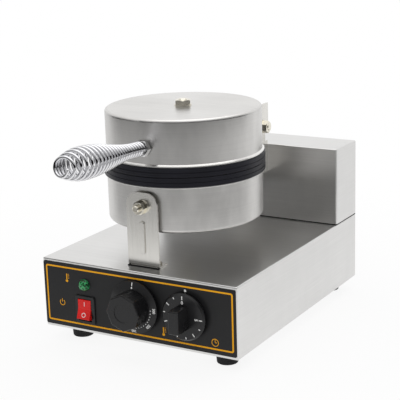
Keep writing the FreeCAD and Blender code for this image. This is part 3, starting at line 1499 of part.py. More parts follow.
def build_timer_knob():
    """Makes the timer knob: a scale skirt with a bar grip across it."""
    bore = "shaft_radius + thread_gap"
    face = "(%s + timer_skirt_height)" % CONTROL_LIFT
    bore_end = CONTROL_LIFT + " + 0.8 * timer_skirt_height"
    knob = turned("timer_knob", [
        (bore, CONTROL_LIFT),
        ("0.97 * timer_skirt_radius", CONTROL_LIFT),
        ("timer_skirt_radius", CONTROL_LIFT + " + 0.3 * timer_skirt_height"),
        ("timer_skirt_radius", CONTROL_LIFT + " + 0.6 * timer_skirt_height"),
        ("0.93 * timer_skirt_radius", face),
        ("0", face),
        ("0", bore_end),
        (bore, bore_end),
    ])
    grip = sketch_on(knob, "XY_Plane", face)
    rectangle(grip, "-timer_grip_width / 2", "timer_grip_width / 2",
              "-timer_grip_length / 2", "timer_grip_length / 2")
    pad(knob, grip, "timer_reach - " + face)

    def grip_edge(edge):
        """Chooses the upright corners and the front edges of the grip."""
        at_front = near(edge.BoundBox.ZMin, value("timer_reach"))
        return at_front or (runs_along(edge, Z_AXIS) and edge.CenterOfMass.z > value(face))

    soften(knob, "knob_rounding", grip_edge)
    hollow = sketch_on(knob, "XY_Plane", CONTROL_LIFT)
    circle(hollow, "0", "0", bore)
    pocket(knob, hollow, "shaft_outer - " + CONTROL_LIFT, reverse=True)
    level = "foot_height + timer_up"
    keep(place(knob, TIMER_ACROSS, LABEL_FACE, level, TO_FRONT), "timer_knob")


def build_terminal_block():
    """Makes the terminal block that stands on the bottom cover."""
    body = new_body("terminal_block")
    face = sketch_on(body, "XY_Plane")
    rectangle(face, "-block_width / 2", "block_width / 2", "-block_depth / 2", "block_depth / 2")
    pad(body, face, "block_height")
    soften(body, "block_height / 9", lambda edge: runs_along(edge, Z_AXIS))
    hole = sketch_on(body, "XY_Plane", "block_height")
    circle(hole, "-block_screw_pitch", "0", "screw_radius")
    first = pocket(body, hole, "block_screw_depth")
    slot_row(body, first, "X_Axis", "2 * block_screw_pitch", 3)
    keep(place(body, BLOCK_ACROSS, BACK + " - block_setback", "foot_height"), "terminal_block")


def build_all():
    """Builds every piece of the part in order."""
    fill_sheet()
    build_base_housing()
    build_front_label()
    build_bottom()
    build_rear()
    build_gland()
    build_front_bracket()
    build_pan_half("lower", LOWER_RIM, False)
    build_bulb()
    build_hinge_bracket()
    build_pivot()
    group("bolt_nuts", bolt_nuts)
    group("bolt_washers", bolt_washers)
    build_pan_half("upper", UPPER_RIM, True)
    mirror_plate()
    build_hinge_arm()
    build_handle()
    build_switch()
    build_lamp()
    screws = build_control("thermostat", "0", "thermostat_up", "thermostat_width",
                           "thermostat_height", "thermostat_depth")
    screws += build_control("timer", TIMER_ACROSS, "timer_up", "timer_width", "timer_height", "timer_depth")
    group("control_screws", screws)
    build_thermostat_knob()
    build_timer_knob()
    build_terminal_block()
    doc.recompute()


def write_pieces():
    """Checks every object and writes each piece to its own file."""
    for item in doc.Objects:
        if "Invalid" in item.State or "Error" in item.State:
            raise RuntimeError("%s did not build: %s" % (item.Label, item.State))
    os.makedirs("parts", exist_ok=True)
    for item in nodes:
        if item.Shape.isNull() or not item.Shape.isValid():
            raise RuntimeError("%s has no valid shape" % item.Label)
        item.Shape.exportStep("parts/%s.step" % item.Label)


build_all()
write_pieces()
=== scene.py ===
"""The looks of an electric waffle cone maker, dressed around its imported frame.

Lengths are in metres. X runs to the right of the front, Y to the back and Z up.
"""

import json
import logging
import math
from dataclasses import dataclass, field
from enum import Enum
from typing import Any, Callable, Sequence

import bmesh
import bpy
from mathutils import Matrix, Vector

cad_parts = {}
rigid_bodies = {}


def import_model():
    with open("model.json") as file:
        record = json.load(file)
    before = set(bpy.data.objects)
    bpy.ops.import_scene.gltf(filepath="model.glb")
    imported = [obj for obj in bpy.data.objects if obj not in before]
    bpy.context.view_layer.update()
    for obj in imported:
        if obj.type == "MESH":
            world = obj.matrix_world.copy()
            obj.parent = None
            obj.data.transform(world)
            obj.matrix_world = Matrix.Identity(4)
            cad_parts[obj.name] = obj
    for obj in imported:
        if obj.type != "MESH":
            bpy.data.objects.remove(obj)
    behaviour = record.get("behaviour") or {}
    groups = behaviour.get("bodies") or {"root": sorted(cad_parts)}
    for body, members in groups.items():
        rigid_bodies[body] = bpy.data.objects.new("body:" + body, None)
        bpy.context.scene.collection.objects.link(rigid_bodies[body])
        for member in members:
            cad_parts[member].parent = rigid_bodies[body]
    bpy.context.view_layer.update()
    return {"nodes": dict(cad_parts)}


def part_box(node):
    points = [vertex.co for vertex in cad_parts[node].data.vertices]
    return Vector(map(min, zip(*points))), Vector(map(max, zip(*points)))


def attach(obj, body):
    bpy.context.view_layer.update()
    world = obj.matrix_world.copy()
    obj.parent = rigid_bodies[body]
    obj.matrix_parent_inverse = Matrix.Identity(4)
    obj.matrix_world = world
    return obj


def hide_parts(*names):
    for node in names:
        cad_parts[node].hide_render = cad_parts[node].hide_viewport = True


LOG = logging.getLogger("cone_maker")
MM = 0.001
SHARP_ANGLE = math.radians(32)

Triple = tuple[float, float, float]
Colour = Triple
Flat = tuple[float, float]

# A wire's rounded end: how far past its last point, and how thick there, both in radii
WIRE_CAP: tuple[Flat, ...] = ((0.0, 1.0), (0.3, 0.8), (0.5, 0.45))


def opaque(colour: Colour) -> tuple[float, float, float, float]:
    """Returns the colour with full cover, as a colour socket takes it."""
    return (*colour, 1.0)


def shade(colour: Colour, by: float) -> Colour:
    """Returns the colour made lighter or darker by a factor."""
    return (colour[0] * by, colour[1] * by, colour[2] * by)


class Wire:
    """One output socket, with arithmetic that adds Math nodes."""

    def __init__(self, board: "Board", socket: bpy.types.NodeSocket) -> None:
        """Keeps the socket and the board that it is on."""
        self.board = board
        self.socket = socket

    def _math(self, operation: str, *values: Any) -> "Wire":
        """Adds one Math node.

        Args:
            operation: the Math node's operation.
            values: its wires or numbers, in order.

        Returns:
            The node's output.
        """
        return self.board.add("ShaderNodeMath", {"operation": operation}, dict(enumerate(values)))

    def __add__(self, other: Any) -> "Wire":
        """Adds."""
        return self._math("ADD", self, other)

    def __radd__(self, other: Any) -> "Wire":
        """Adds, with the number first."""
        return self._math("ADD", other, self)

    def __sub__(self, other: Any) -> "Wire":
        """Subtracts."""
        return self._math("SUBTRACT", self, other)

    def __rsub__(self, other: Any) -> "Wire":
        """Subtracts from a number."""
        return self._math("SUBTRACT", other, self)

    def __mul__(self, other: Any) -> "Wire":
        """Multiplies."""
        return self._math("MULTIPLY", self, other)

    def __rmul__(self, other: Any) -> "Wire":
        """Multiplies, with the number first."""
        return self._math("MULTIPLY", other, self)

    def __abs__(self) -> "Wire":
        """Drops the sign."""
        return self._math("ABSOLUTE", self)

    def larger(self, other: Any) -> "Wire":
        """Takes the larger of two values."""
        return self._math("MAXIMUM", self, other)

    def wave(self) -> "Wire":
        """Takes the sine."""
        return self._math("SINE", self)

    def angle(self, other: Any) -> "Wire":
        """Takes the angle whose sine and cosine go as the two values."""
        return self._math("ARCTAN2", self, other)

    def rise(self, low: float, high: float) -> "Wire":
        """Goes smoothly from 0 at low to 1 at high.

        Args:
            low: the value that gives 0.
            high: the value that gives 1.

        Returns:
            The eased value.
        """
        return self.board.add(
            "ShaderNodeMapRange",
            {"interpolation_type": "SMOOTHSTEP"},
            {"Value": self, "From Min": low, "From Max": high},
        )

    def other(self, name: str) -> "Wire":
        """Returns another output of the same node, by its name."""
        return Wire(self.board, self.socket.node.outputs[name])


class Board:
    """A node tree under construction."""

    def __init__(self, tree: bpy.types.NodeTree) -> None:
        """Starts from an empty tree."""
        self.tree = tree
        tree.nodes.clear()

    def node(
        self,
        kind: str,
        settings: dict[str, Any] | None = None,
        sockets: dict[str | int, Any] | None = None,
    ) -> bpy.types.Node:
        """Adds one node.

        Args:
            kind: the node's type.
            settings: its own settings, set first.
            sockets: values or wires for its inputs, by name or number.

        Returns:
            The node.
        """
        made = self.tree.nodes.new(kind)
        for name, value in (settings or {}).items():
            setattr(made, name, value)
        for key, value in (sockets or {}).items():
            if isinstance(value, Wire):
                self.tree.links.new(value.socket, made.inputs[key])
            else:
                made.inputs[key].default_value = value
        return made

    def add(
        self,
        kind: str,
        settings: dict[str, Any] | None = None,
        sockets: dict[str | int, Any] | None = None,
        out: str | int = 0,
    ) -> Wire:
        """Adds one node and returns one of its outputs.

        Args:
            kind: the node's type.
            settings: its own settings.
            sockets: values or wires for its inputs.
            out: the output that is wanted, by name or number.

        Returns:
            That output.
        """
        return Wire(self, self.node(kind, settings, sockets).outputs[out])

    def place(self) -> Wire:
        """Returns the point on the surface, in metres, as it is at rest."""
        return self.add("ShaderNodeTexCoord", out="Object")

    def upness(self) -> Wire:
        """Returns how far the surface faces up or down, from 0 to 1."""
        normal = self.add("ShaderNodeTexCoord", out="Normal")
        return abs(self.add("ShaderNodeSeparateXYZ", None, {0: normal}, "Z"))

    def stretched(self, scale: Triple) -> Wire:
        """Returns the point with each axis multiplied by its own number."""
        return self.add("ShaderNodeVectorMath", {"operation": "MULTIPLY"}, {0: self.place(), 1: scale})

    def noise(self, scale: Triple, detail: float = 2.0) -> Wire:
        """Adds a noise.

        Args:
            scale: waves to a metre along each axis.
            detail: how many finer layers it has.

        Returns:
            A value around 0.5.
        """
        sockets = {"Vector": self.stretched(scale), "Scale": 1.0, "Detail": detail}
        return self.add("ShaderNodeTexNoise", None, sockets)

    def even_noise(self, scale: float, detail: float = 2.0) -> Wire:
        """Adds a noise that is the same along every axis."""
        return self.noise((scale, scale, scale), detail)

    def blend(self, amount: Wire, low: Colour, high: Colour) -> Wire:
        """Mixes two colours.

        Args:
            amount: 0 for the first colour and 1 for the second.
            low: the first colour.
            high: the second colour.

        Returns:
            The mixed colour.
        """
        sockets = {0: amount, 6: opaque(low), 7: opaque(high)}
        return self.add("ShaderNodeMix", {"data_type": "RGBA"}, sockets, 2)

    def bump(self, height: Wire, strength: float, depth: float) -> Wire:
        """Turns a height into a bumped normal.

        Args:
            height: the height, from 0 to 1.
            strength: how strongly it shows.
            depth: the depth of a step of 1, in metres.

        Returns:
            The normal.
        """
        return self.add("ShaderNodeBump", None, {"Height": height, "Strength": strength, "Distance": depth})


@dataclass(frozen=True)
class Finish:
    """A finish that can become a material."""

    name: str

    def surface(self, board: Board) -> dict[str, Any]:
        """Returns the shader's sockets, by name."""
        raise NotImplementedError

    def material(self) -> bpy.types.Material:
        """Makes the material, once.

        Returns:
            The material of this finish.
        """
        known = bpy.data.materials.get(self.name)
        if known is not None:
            return known
        made = bpy.data.materials.new(self.name)
        made.use_nodes = True
        board = Board(made.node_tree)
        shader = board.add("ShaderNodeBsdfPrincipled", None, self.surface(board))
        board.node("ShaderNodeOutputMaterial", None, {"Surface": shader})
        return made


class Grain(Enum):
    """Which way the brushing runs on the upright faces of a sheet."""

    LEVEL = "level"
    UPRIGHT = "upright"


@dataclass(frozen=True)
class BrushedSteel(Finish):
    """Brushed stainless sheet: fine scratches, broad streaks, and smears on upright faces that are partly
    hand marks and partly painted vertical reflection streaks.

    Waves are counted to a metre, for strokes along them and across them.
    """

    colour: Colour = (0.70, 0.695, 0.685)
    roughness: float = 0.30
    grain: Grain = Grain.LEVEL
    anisotropy: float = 0.0
    depth: float = 0.08
    # How strongly the smears show on upright faces: partly wipe marks, partly painted vertical reflection
    # streaks.
    wiped: float = 0.15
    fine_waves: Flat = (16.0, 1500.0)
    broad_waves: Flat = (3.0, 210.0)
    cloud_waves: float = 11.0
    smear_and_streak_waves: Triple = (58.0, 58.0, 24.0)

    def lying(self, board: Board) -> Wire:
        """Returns 1 on faces that lie flat and 0 on upright ones."""
        return board.upness().rise(0.6, 0.8)

    def strokes(self, board: Board, waves: Flat) -> Wire:
        """Adds brush strokes that follow each face.

        Args:
            board: the tree to add to.
            waves: waves to a metre along the stroke and across it.

        Returns:
            A value around 0.5.
        """
        along, across = waves
        upright = {
            Grain.LEVEL: (along, along, across),
            Grain.UPRIGHT: (across, across, along),
        }[self.grain]
        flat = self.lying(board)
        on_top = board.noise((along, across, along), 3.0)
        on_side = board.noise(upright, 3.0)
        return on_top * flat + on_side * (1 - flat)

    def surface(self, board: Board) -> dict[str, Any]:
        """Returns the shader's sockets, by name."""
        fine = self.strokes(board, self.fine_waves)
        broad = self.strokes(board, self.broad_waves)
        clouds = board.even_noise(self.cloud_waves, 3.0)
        # Smears on upright faces, drawn out upward: partly wipe marks, partly painted vertical reflection
        # streaks.
        smears_and_painted_streaks = board.noise(self.smear_and_streak_waves, 4.0).rise(0.30, 0.70)
        brushed = (0.45 * fine + 0.15 * broad + 0.40 * clouds).rise(0.25, 0.75)
        wiped = self.wiped * (1 - self.lying(board))
        tone = brushed + (smears_and_painted_streaks - brushed) * wiped
        roughness = self.roughness - 0.06 + 0.05 * fine + 0.02 * broad + 0.04 * clouds + 0.06 * wiped * smears_and_painted_streaks
        dark, light = shade(self.colour, 1 - self.depth), shade(self.colour, 1 + self.depth)
        return {
            "Base Color": board.blend(tone, dark, light),
            "Metallic": 1.0,
            "Roughness": roughness,
            "Anisotropic": self.anisotropy,
            "Normal": board.bump(fine, 0.05, 0.05 * MM),
        }


@dataclass(frozen=True)
class PlatedMetal(Finish):
    """Bright metal with a thin plating: chrome, nickel, brass or dull heater tube."""

    colour: Colour = (0.8, 0.8, 0.8)
    roughness: float = 0.2
    tarnish: float = 0.25
    tarnish_colour: Colour = (0.4, 0.36, 0.3)
    grain: float = 900.0

    def surface(self, board: Board) -> dict[str, Any]:
        """Returns the shader's sockets, by name."""
        spots = board.even_noise(180.0, 4.0)
        fine = board.even_noise(self.grain, 2.0)
        worn = spots.rise(0.42, 0.80) * self.tarnish
        return {
            "Base Color": board.blend(worn, self.colour, self.tarnish_colour),
            "Metallic": 1.0,
            "Roughness": self.roughness - 0.06 + 0.08 * fine + 0.12 * worn,
            "Normal": board.bump(fine, 0.05, 0.05 * MM),
        }


@dataclass(frozen=True)
class CoatedPlate(Finish):
    """Cast baking plate with a dark release coat and turned lines round its rim."""

    colour: Colour = (0.0052, 0.0052, 0.0086)
    roughness: float = 0.42
    line_pitch: float = 1.7 * MM

    def surface(self, board: Board) -> dict[str, Any]:
        """Returns the shader's sockets, by name."""
        height = board.add("ShaderNodeSeparateXYZ", None, {0: board.place()}, "Z")
        turned = (height * (2 * math.pi / self.line_pitch)).wave() * 0.5 + 0.5
        rim = 1 - board.upness().rise(0.3, 0.6)
        speckle = board.even_noise(1300.0, 3.0)
        clouds = board.even_noise(45.0, 3.0)
        lines = turned.rise(0.80, 0.99) * rim
        tone = 0.45 * clouds + 0.30 * speckle + 0.35 * lines
        return {
            "Base Color": board.blend(tone.rise(0.2, 0.9), self.colour, shade(self.colour, 2.8)),
            "Roughness": self.roughness - 0.10 + 0.20 * speckle - 0.08 * lines,
            "Specular IOR Level": 0.22,
            "Normal": board.bump(0.3 * speckle - 0.8 * lines, 0.35, 0.10 * MM),
        }


@dataclass(frozen=True)
class Moulded(Finish):
    """Moulded plastic, rubber or paint with a fine skin and handling marks."""

    colour: Colour = (0.02, 0.02, 0.02)
    roughness: float = 0.4
    spread: float = 0.12
    skin: float = 1600.0
    skin_depth: float = 0.05 * MM
    coat: float = 0.0
    gloss: float = 0.25
    worn_colour: Colour | None = None

    def surface(self, board: Board) -> dict[str, Any]:
        """Returns the shader's sockets, by name."""
        skin = board.even_noise(self.skin, 3.0)
        clouds = board.even_noise(38.0, 4.0)
        wiped = clouds.rise(0.35, 0.75)
        worn = self.worn_colour or shade(self.colour, 1.0 + 3.0 * self.spread)
        tone = 0.6 * wiped + 0.4 * skin
        return {
            "Base Color": board.blend(tone, shade(self.colour, 1.0 - self.spread), worn),
            "Roughness": self.roughness - 0.5 * self.spread + self.spread * tone,
            "Specular IOR Level": self.gloss,
            "Coat Weight": self.coat,
            "Coat Roughness": 0.12,
            "Normal": board.bump(skin, 0.22, self.skin_depth),
        }


@dataclass(frozen=True)
class Fibre(Finish):
    """Pressed fibre board with matted threads."""

    colour: Colour = (0.62, 0.59, 0.52)

    def surface(self, board: Board) -> dict[str, Any]:
        """Returns the shader's sockets, by name."""
        threads = board.noise((900.0, 260.0, 900.0), 4.0)
        crossing = board.noise((260.0, 900.0, 900.0), 4.0)
        mat = threads.larger(crossing)
        return {
            "Base Color": board.blend(mat.rise(0.3, 0.8), shade(self.colour, 0.72), self.colour),
            "Roughness": 0.80 + 0.15 * mat,
            "Normal": board.bump(mat, 0.6, 0.3 * MM),
        }


@dataclass(frozen=True)
class CutLens(Finish):
    """Clear coloured plastic cut in facets, with painted glints: lighter green patches that stand for light
    caught in the facets.
    """

    colour: Colour = (0.002, 0.030, 0.009)
    # The lighter green of the painted glints.
    bright: Colour = (0.045, 0.36, 0.12)

    def surface(self, board: Board) -> dict[str, Any]:
        """Returns the shader's sockets, by name."""
        cells = board.add("ShaderNodeTexVoronoi", None, {"Vector": board.place(), "Scale": 420.0}, "Distance")
        depth = board.even_noise(260.0, 2.0)
        # Painted glints: cells of lighter green stand for light caught in the facets.
        painted_glints = (cells * 0.8 + depth * 0.5).rise(0.50, 0.90)
        return {
            "Base Color": board.blend(painted_glints, self.colour, self.bright),
            "Roughness": 0.08 + 0.10 * depth,
            "Specular IOR Level": 0.3,
            "Coat Weight": 0.15,
            "Coat Roughness": 0.05,
        }


BOX_STEEL = BrushedSteel("brushed_box_sheet")
# The pan's strong smears are partly painted vertical reflection streaks on its sides.
PAN_STEEL = BrushedSteel(
    "brushed_pan_sheet", colour=(0.675, 0.665, 0.648), roughness=0.31, anisotropy=0.55, depth=0.12, wiped=0.5)
RIM_STEEL = BrushedSteel("polished_rim", colour=(0.80, 0.79, 0.77), roughness=0.17, depth=0.05)
STRAP_STEEL = BrushedSteel("brushed_strap", colour=(0.74, 0.725, 0.69), roughness=0.25, grain=Grain.UPRIGHT)
PLATE_COAT = CoatedPlate("black_plate_coat")
CHROME = PlatedMetal(
    "chrome_wire", (0.76, 0.76, 0.78), roughness=0.09, tarnish=0.10, tarnish_colour=(0.5, 0.5, 0.53))
NICKEL = PlatedMetal(
    "nickel_fixing", (0.78, 0.745, 0.65), roughness=0.17, tarnish=0.16, tarnish_colour=(0.40, 0.34, 0.24))
ZINC = PlatedMetal(
    "zinc_fixing", (0.68, 0.68, 0.68), roughness=0.24, tarnish=0.30, tarnish_colour=(0.36, 0.35, 0.33))
HEATER_STEEL = PlatedMetal(
    "heater_tube", (0.30, 0.29, 0.28), roughness=0.5, tarnish=0.6, tarnish_colour=(0.12, 0.10, 0.09))
BRASS = PlatedMetal(
    "tarnished_brass", (0.72, 0.52, 0.22), roughness=0.28, tarnish=0.3, tarnish_colour=(0.35, 0.22, 0.09))
PANEL_BLACK = Moulded(
    "satin_panel", (0.0125, 0.0125, 0.0132), roughness=0.40, spread=0.10, skin=2200.0, skin_depth=0.03 * MM,
    gloss=0.22)
BLACK_PLASTIC = Moulded(
    "black_moulding", (0.0095, 0.0095, 0.0102), roughness=0.30, spread=0.16, gloss=0.32)
GREY_PLASTIC = Moulded("grey_moulding", colour=(0.30, 0.30, 0.31), roughness=0.45)
RED_PLASTIC = Moulded(
    "red_rocker", (0.62, 0.007, 0.006), roughness=0.28, spread=0.08, skin_depth=0.02 * MM, coat=0.12,
    gloss=0.2, worn_colour=(0.76, 0.016, 0.012))
RUBBER = Moulded(
    "foot_rubber", (0.010, 0.010, 0.011), roughness=0.72, spread=0.2, skin=900.0, skin_depth=0.12 * MM)
FIBRE = Fibre("insulation_fibre")
GREEN_LENS = CutLens("cut_green_plastic")
ORANGE_INK = Moulded(
    "orange_ink", (0.80, 0.365, 0.010), roughness=0.5, spread=0.05, gloss=0.12,
    worn_colour=(0.85, 0.40, 0.012))
WHITE_INK = Moulded(
    "white_ink", (0.82, 0.82, 0.81), roughness=0.5, spread=0.05, worn_colour=(0.88, 0.88, 0.87))


class Solid:
    """A closed mesh under construction."""

    def __init__(self) -> None:
        """Starts with nothing in it."""
        self.form = bmesh.new()

    def skin(self, rings: Sequence[Sequence[Vector]], closed: bool = False) -> None:
        """Joins rings of points by faces.

        Args:
            rings: the rings, each with as many points.
            closed: whether the last ring meets the first; else both ends get caps.
        """
        rows = [[self.form.verts.new(point) for point in ring] for ring in rings]
        pairs = list(zip(rows, rows[1:]))
        if closed:
            pairs.append((rows[-1], rows[0]))
        for low, high in pairs:
            for here in range(len(low)):
                after = (here + 1) % len(low)
                self.form.faces.new((low[here], low[after], high[after], high[here]))
        if not closed:
            self.form.faces.new(rows[0][::-1])
            self.form.faces.new(rows[-1])

    def tube(self, path: Sequence[Vector], radius: float, sides: int) -> None:
        """Runs a round wire along a path, with rounded ends.

        Args:
            path: the points of its centre line.
            radius: the wire's radius.
            sides: how many flats go round it.
        """
        rings = []
        last = len(path) - 1
        ends = {0: [(-shift, share) for shift, share in reversed(WIRE_CAP)], last: WIRE_CAP}
        turns = [2 * math.pi * side / sides for side in range(sides)]
        across = Vector((0, 0, 1)).cross(path[1] - path[0]).normalized()
        for step, point in enumerate(path):
            ahead = (path[min(step + 1, last)] - path[max(step - 1, 0)]).normalized()
            across = (across - ahead * across.dot(ahead)).normalized()
            up = ahead.cross(across)
            round_it = [across * math.cos(t) + up * math.sin(t) for t in turns]
            for shift, share in ends.get(step, WIRE_CAP[:1]):
                centre = point + ahead * shift * radius
                rings.append([centre + out * radius * share for out in round_it])
        self.skin(rings)

    def piece(self, name: str, finish: Finish, smooth: bool = True) -> bpy.types.Object:
        """Closes the mesh and puts it in the scene.

        Args:
            name: the piece's name.
            finish: what it is made of.
            smooth: whether its soft edges are shaded smooth.

        Returns:
            The new object.
        """
        bmesh.ops.remove_doubles(self.form, verts=self.form.verts, dist=1e-7)
        bmesh.ops.recalc_face_normals(self.form, faces=self.form.faces)
        mesh = bpy.data.meshes.new(name)
        self.form.to_mesh(mesh)
        self.form.free()
        mesh.polygons.foreach_set("use_smooth", [smooth] * len(mesh.polygons))
        if smooth:
            mesh.set_sharp_from_angle(angle=SHARP_ANGLE)
        mesh.materials.append(finish.material())
        made = bpy.data.objects.new(name, mesh)
        bpy.context.scene.collection.objects.link(made)
        return made


def on_dial(centre: Flat, radius: float, turn: float) -> Flat:
    """Returns a point of a circle.

    Args:
        centre: the circle's centre.
        radius: its radius.
        turn: how far the point is from the top, in degrees against the clock.

    Returns:
        The point, across and up.
    """
    angle = math.radians(turn)
    return (centre[0] - radius * math.sin(angle), centre[1] + radius * math.cos(angle))


def circle(
    centre: Flat, radius: float, start: float = 0.0, sweep: float = 360.0, steps: int = 24
) -> list[Flat]:
    """Returns points on an arc that runs against the clock.

    Args:
        centre: the arc's centre.
        radius: its radius.
        start: where it starts, in degrees from the top.
        sweep: how far it goes, in degrees.
        steps: how many steps it is cut into.

    Returns:
        The points; a full circle doesn't repeat its first.
    """
    count = steps if sweep >= 360.0 else steps + 1
    return [on_dial(centre, radius, start + sweep * step / steps) for step in range(count)]


def rounded_box(half: Flat, corner: float, steps: int = 6) -> list[Flat]:
    """Returns the outline of a rectangle round the origin with rounded corners.

    Args:
        half: half its width and height.
        corner: the radius of its corners.
        steps: how many steps each corner is cut into.

    Returns:
        The points, in order.
    """
    points = []
    for quarter, (side, up) in enumerate(((-1, 1), (-1, -1), (1, -1), (1, 1))):
        centre = (side * (half[0] - corner), up * (half[1] - corner))
        points += circle(centre, corner, 90.0 * quarter, 90.0, steps)
    return points


@dataclass
class Ink:
    """Print laid as thin solids on a surface.

    The surface is a function of a place on it, across and up, and of a lift off it.
    """

    lay: Callable[[float, float, float], Vector]
    thick: float = 0.10 * MM
    sunk: float = 0.05 * MM
    bold: float = 0.10 * MM
    solid: Solid = field(default_factory=Solid)

    def ring_at(self, outline: Sequence[Flat], lift: float) -> list[Vector]:
        """Returns the outline's points at one lift."""
        return [self.lay(across, up, lift) for across, up in outline]

    def patch(self, outline: Sequence[Flat]) -> None:
        """Prints the inside of an outline."""
        self.solid.skin([self.ring_at(outline, -self.sunk), self.ring_at(outline, self.thick)])

    def frame(self, outer: Sequence[Flat], inner: Sequence[Flat]) -> None:
        """Prints the space between two outlines with as many points each."""
        low, high = -self.sunk, self.thick
        corners = ((outer, low), (outer, high), (inner, high), (inner, low))
        self.solid.skin([self.ring_at(line, lift) for line, lift in corners], closed=True)

    def bar(self, start: Flat, end: Flat, width: float) -> None:
        """Prints a straight line.

        Args:
            start: where it starts.
            end: where it ends.
            width: how wide it is.
        """
        run = Vector((end[0] - start[0], end[1] - start[1]))
        side = Vector((-run.y, run.x)).normalized() * width / 2
        corners = [Vector(start) + side, Vector(start) - side, Vector(end) - side, Vector(end) + side]
        self.patch([(corner.x, corner.y) for corner in corners])

    def spoke(self, centre: Flat, turn: float, inner: float, outer: float, width: float) -> None:
        """Prints a line that points to a centre.

        Args:
            centre: the dial's centre.
            turn: its place in degrees from the top, against the clock.
            inner: its distance from the centre where it starts.
            outer: its distance where it ends.
            width: how wide it is.
        """
        self.bar(on_dial(centre, inner, turn), on_dial(centre, outer, turn), width)

    def dot(self, centre: Flat, radius: float) -> None:
        """Prints a round dot."""
        self.patch(circle(centre, radius, steps=14))

    def arc(
        self, centre: Flat, radius: float, width: float, start: float = 0.0, sweep: float = 360.0
    ) -> None:
        """Prints a ring or a part of one.

        Args:
            centre: the ring's centre.
            radius: the radius of its middle line.
            width: how wide the line is.
            start: where it starts, in degrees from the top.
            sweep: how far it goes, in degrees.
        """
        outer = circle(centre, radius + width / 2, start, sweep)
        inner = circle(centre, radius - width / 2, start, sweep)
        if sweep >= 360.0:
            self.frame(outer, inner)
        else:
            self.patch(outer + inner[::-1])

    def number(self, digits: str, centre: Flat, turn: float, size: float) -> None:
        """Prints a number.

        Args:
            digits: its digits.
            centre: where its middle is.
            turn: how far it is turned against the clock, in degrees.
            size: the height of its line.
        """
        curve = bpy.data.curves.new("digits", "FONT")
        curve.body = digits
        curve.size = size
        curve.align_x = "CENTER"
        curve.align_y = "CENTER"
        curve.extrude = 1.0
        curve.offset = self.bold
        curve.resolution_u = 4
        holder = bpy.data.objects.new("digits", curve)
        mesh = bpy.data.meshes.new_from_object(holder)
        spin = Matrix.Rotation(math.radians(turn), 4, "Z")
        for vertex in mesh.vertices:
            flat = spin @ vertex.co
            lift = self.thick if vertex.co.z > 0 else -self.sunk
            vertex.co = self.lay(centre[0] + flat.x, centre[1] + flat.y, lift)
        self.solid.form.from_mesh(mesh)
        bpy.data.meshes.remove(mesh)
        bpy.data.objects.remove(holder)
        bpy.data.curves.remove(curve)


@dataclass
class SubAssembly:
    """A group of pieces that are made and dressed together."""

    nodes: dict[str, bpy.types.Object]

    def dress(self, finish: Finish, *names: str) -> None:
        """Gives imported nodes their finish.

        Args:
            finish: the finish.
            names: the nodes that get it.
        """
        for name in names:
            materials = self.nodes[name].data.materials
            if not materials:
                materials.append(None)
            for number in range(len(materials)):
                materials[number] = finish.material()
            LOG.info("%s is dressed in %s", name, finish.name)

    def seat(self, piece: bpy.types.Object, body: str, slot: str, *instead_of: str) -> None:
        """Makes a new piece ride on a body.

        Args:
            piece: the new piece.
            body: the body that it moves with.
            slot: the record's slot that its finish belongs to; not used.
            instead_of: the nodes that it stands for.
        """
        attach(piece, body)
        if instead_of:
            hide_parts(*instead_of)
        LOG.info("%s rides on %s", piece.name, body)

    def build(self) -> None:
        """Builds and dresses the pieces."""
        raise NotImplementedError


def panel_front() -> float:
    """Returns where the front of the black plate is, along Y."""
    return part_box("front_label")[0].y


@dataclass
class Housing(SubAssembly):
    """The base box, the rear box, the feet and the cord inlet."""

    # Dark strips that paint the shadow in the gaps under the rear box's foot and the front bracket's bent
    # foot.
    joints: tuple[tuple[str, str, float], ...] = (
        ("rear_box_joint", "rear_housing", 1.3 * MM),
        ("bracket_joint", "front_bracket", 0.9 * MM),
    )
    shadow_strip_depth: float = 1.4 * MM
    shadow_strip_inset: float = 0.05 * MM

    def painted_shadow_strip(self, node: str, height: float) -> Solid:
        """Lays a dark strip of painted shadow in the gap between a sheet piece's foot and the base.

        Args:
            node: the piece that stands on the base.
            height: how high the painted shadow strip is.

        Returns:
            A strip round the front and the sides of the piece's foot.
        """
        low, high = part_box(node)
        rings = []
        for across, along in ((-1, 1), (-1, -1), (1, -1), (1, 1)):
            ring = []
            for deep, up in ((0.0, 0.0), (0.0, height), (self.shadow_strip_depth, height), (self.shadow_strip_depth, 0.0)):
                inset = self.shadow_strip_inset + deep
                side = high.x - inset if across > 0 else low.x + inset
                end = low.y + inset if along < 0 else high.y - self.shadow_strip_inset
                ring.append(Vector((side, end, low.z + up)))
            rings.append(ring)
        solid = Solid()
        solid.skin(rings)
        return solid

    def build(self) -> None:
        """Lays the painted shadow strips and dresses the sheets, feet and fixings."""
        for name, node, height in self.joints:
            # Each strip is painted shadow: a dark rubber colour laid where the gap lies in shade.
            self.seat(self.painted_shadow_strip(node, height).piece(name, RUBBER, smooth=False), "base", "rubber")
        self.dress(BOX_STEEL, "base_housing", "base_plate", "rear_housing", "rear_cover")
        self.dress(RUBBER, "rubber_feet")
        self.dress(NICKEL, "base_plate_screws", "foot_nuts", "foot_screws", "rear_cover_screws")
        self.dress(BLACK_PLASTIC, "cable_gland", "gland_nut")
        self.dress(GREY_PLASTIC, "terminal_block")


class Sign(Enum):
    """The plain signs on the control panel."""

    THERMOMETER = "thermometer"
    POWER = "power"
    CLOCK = "clock"


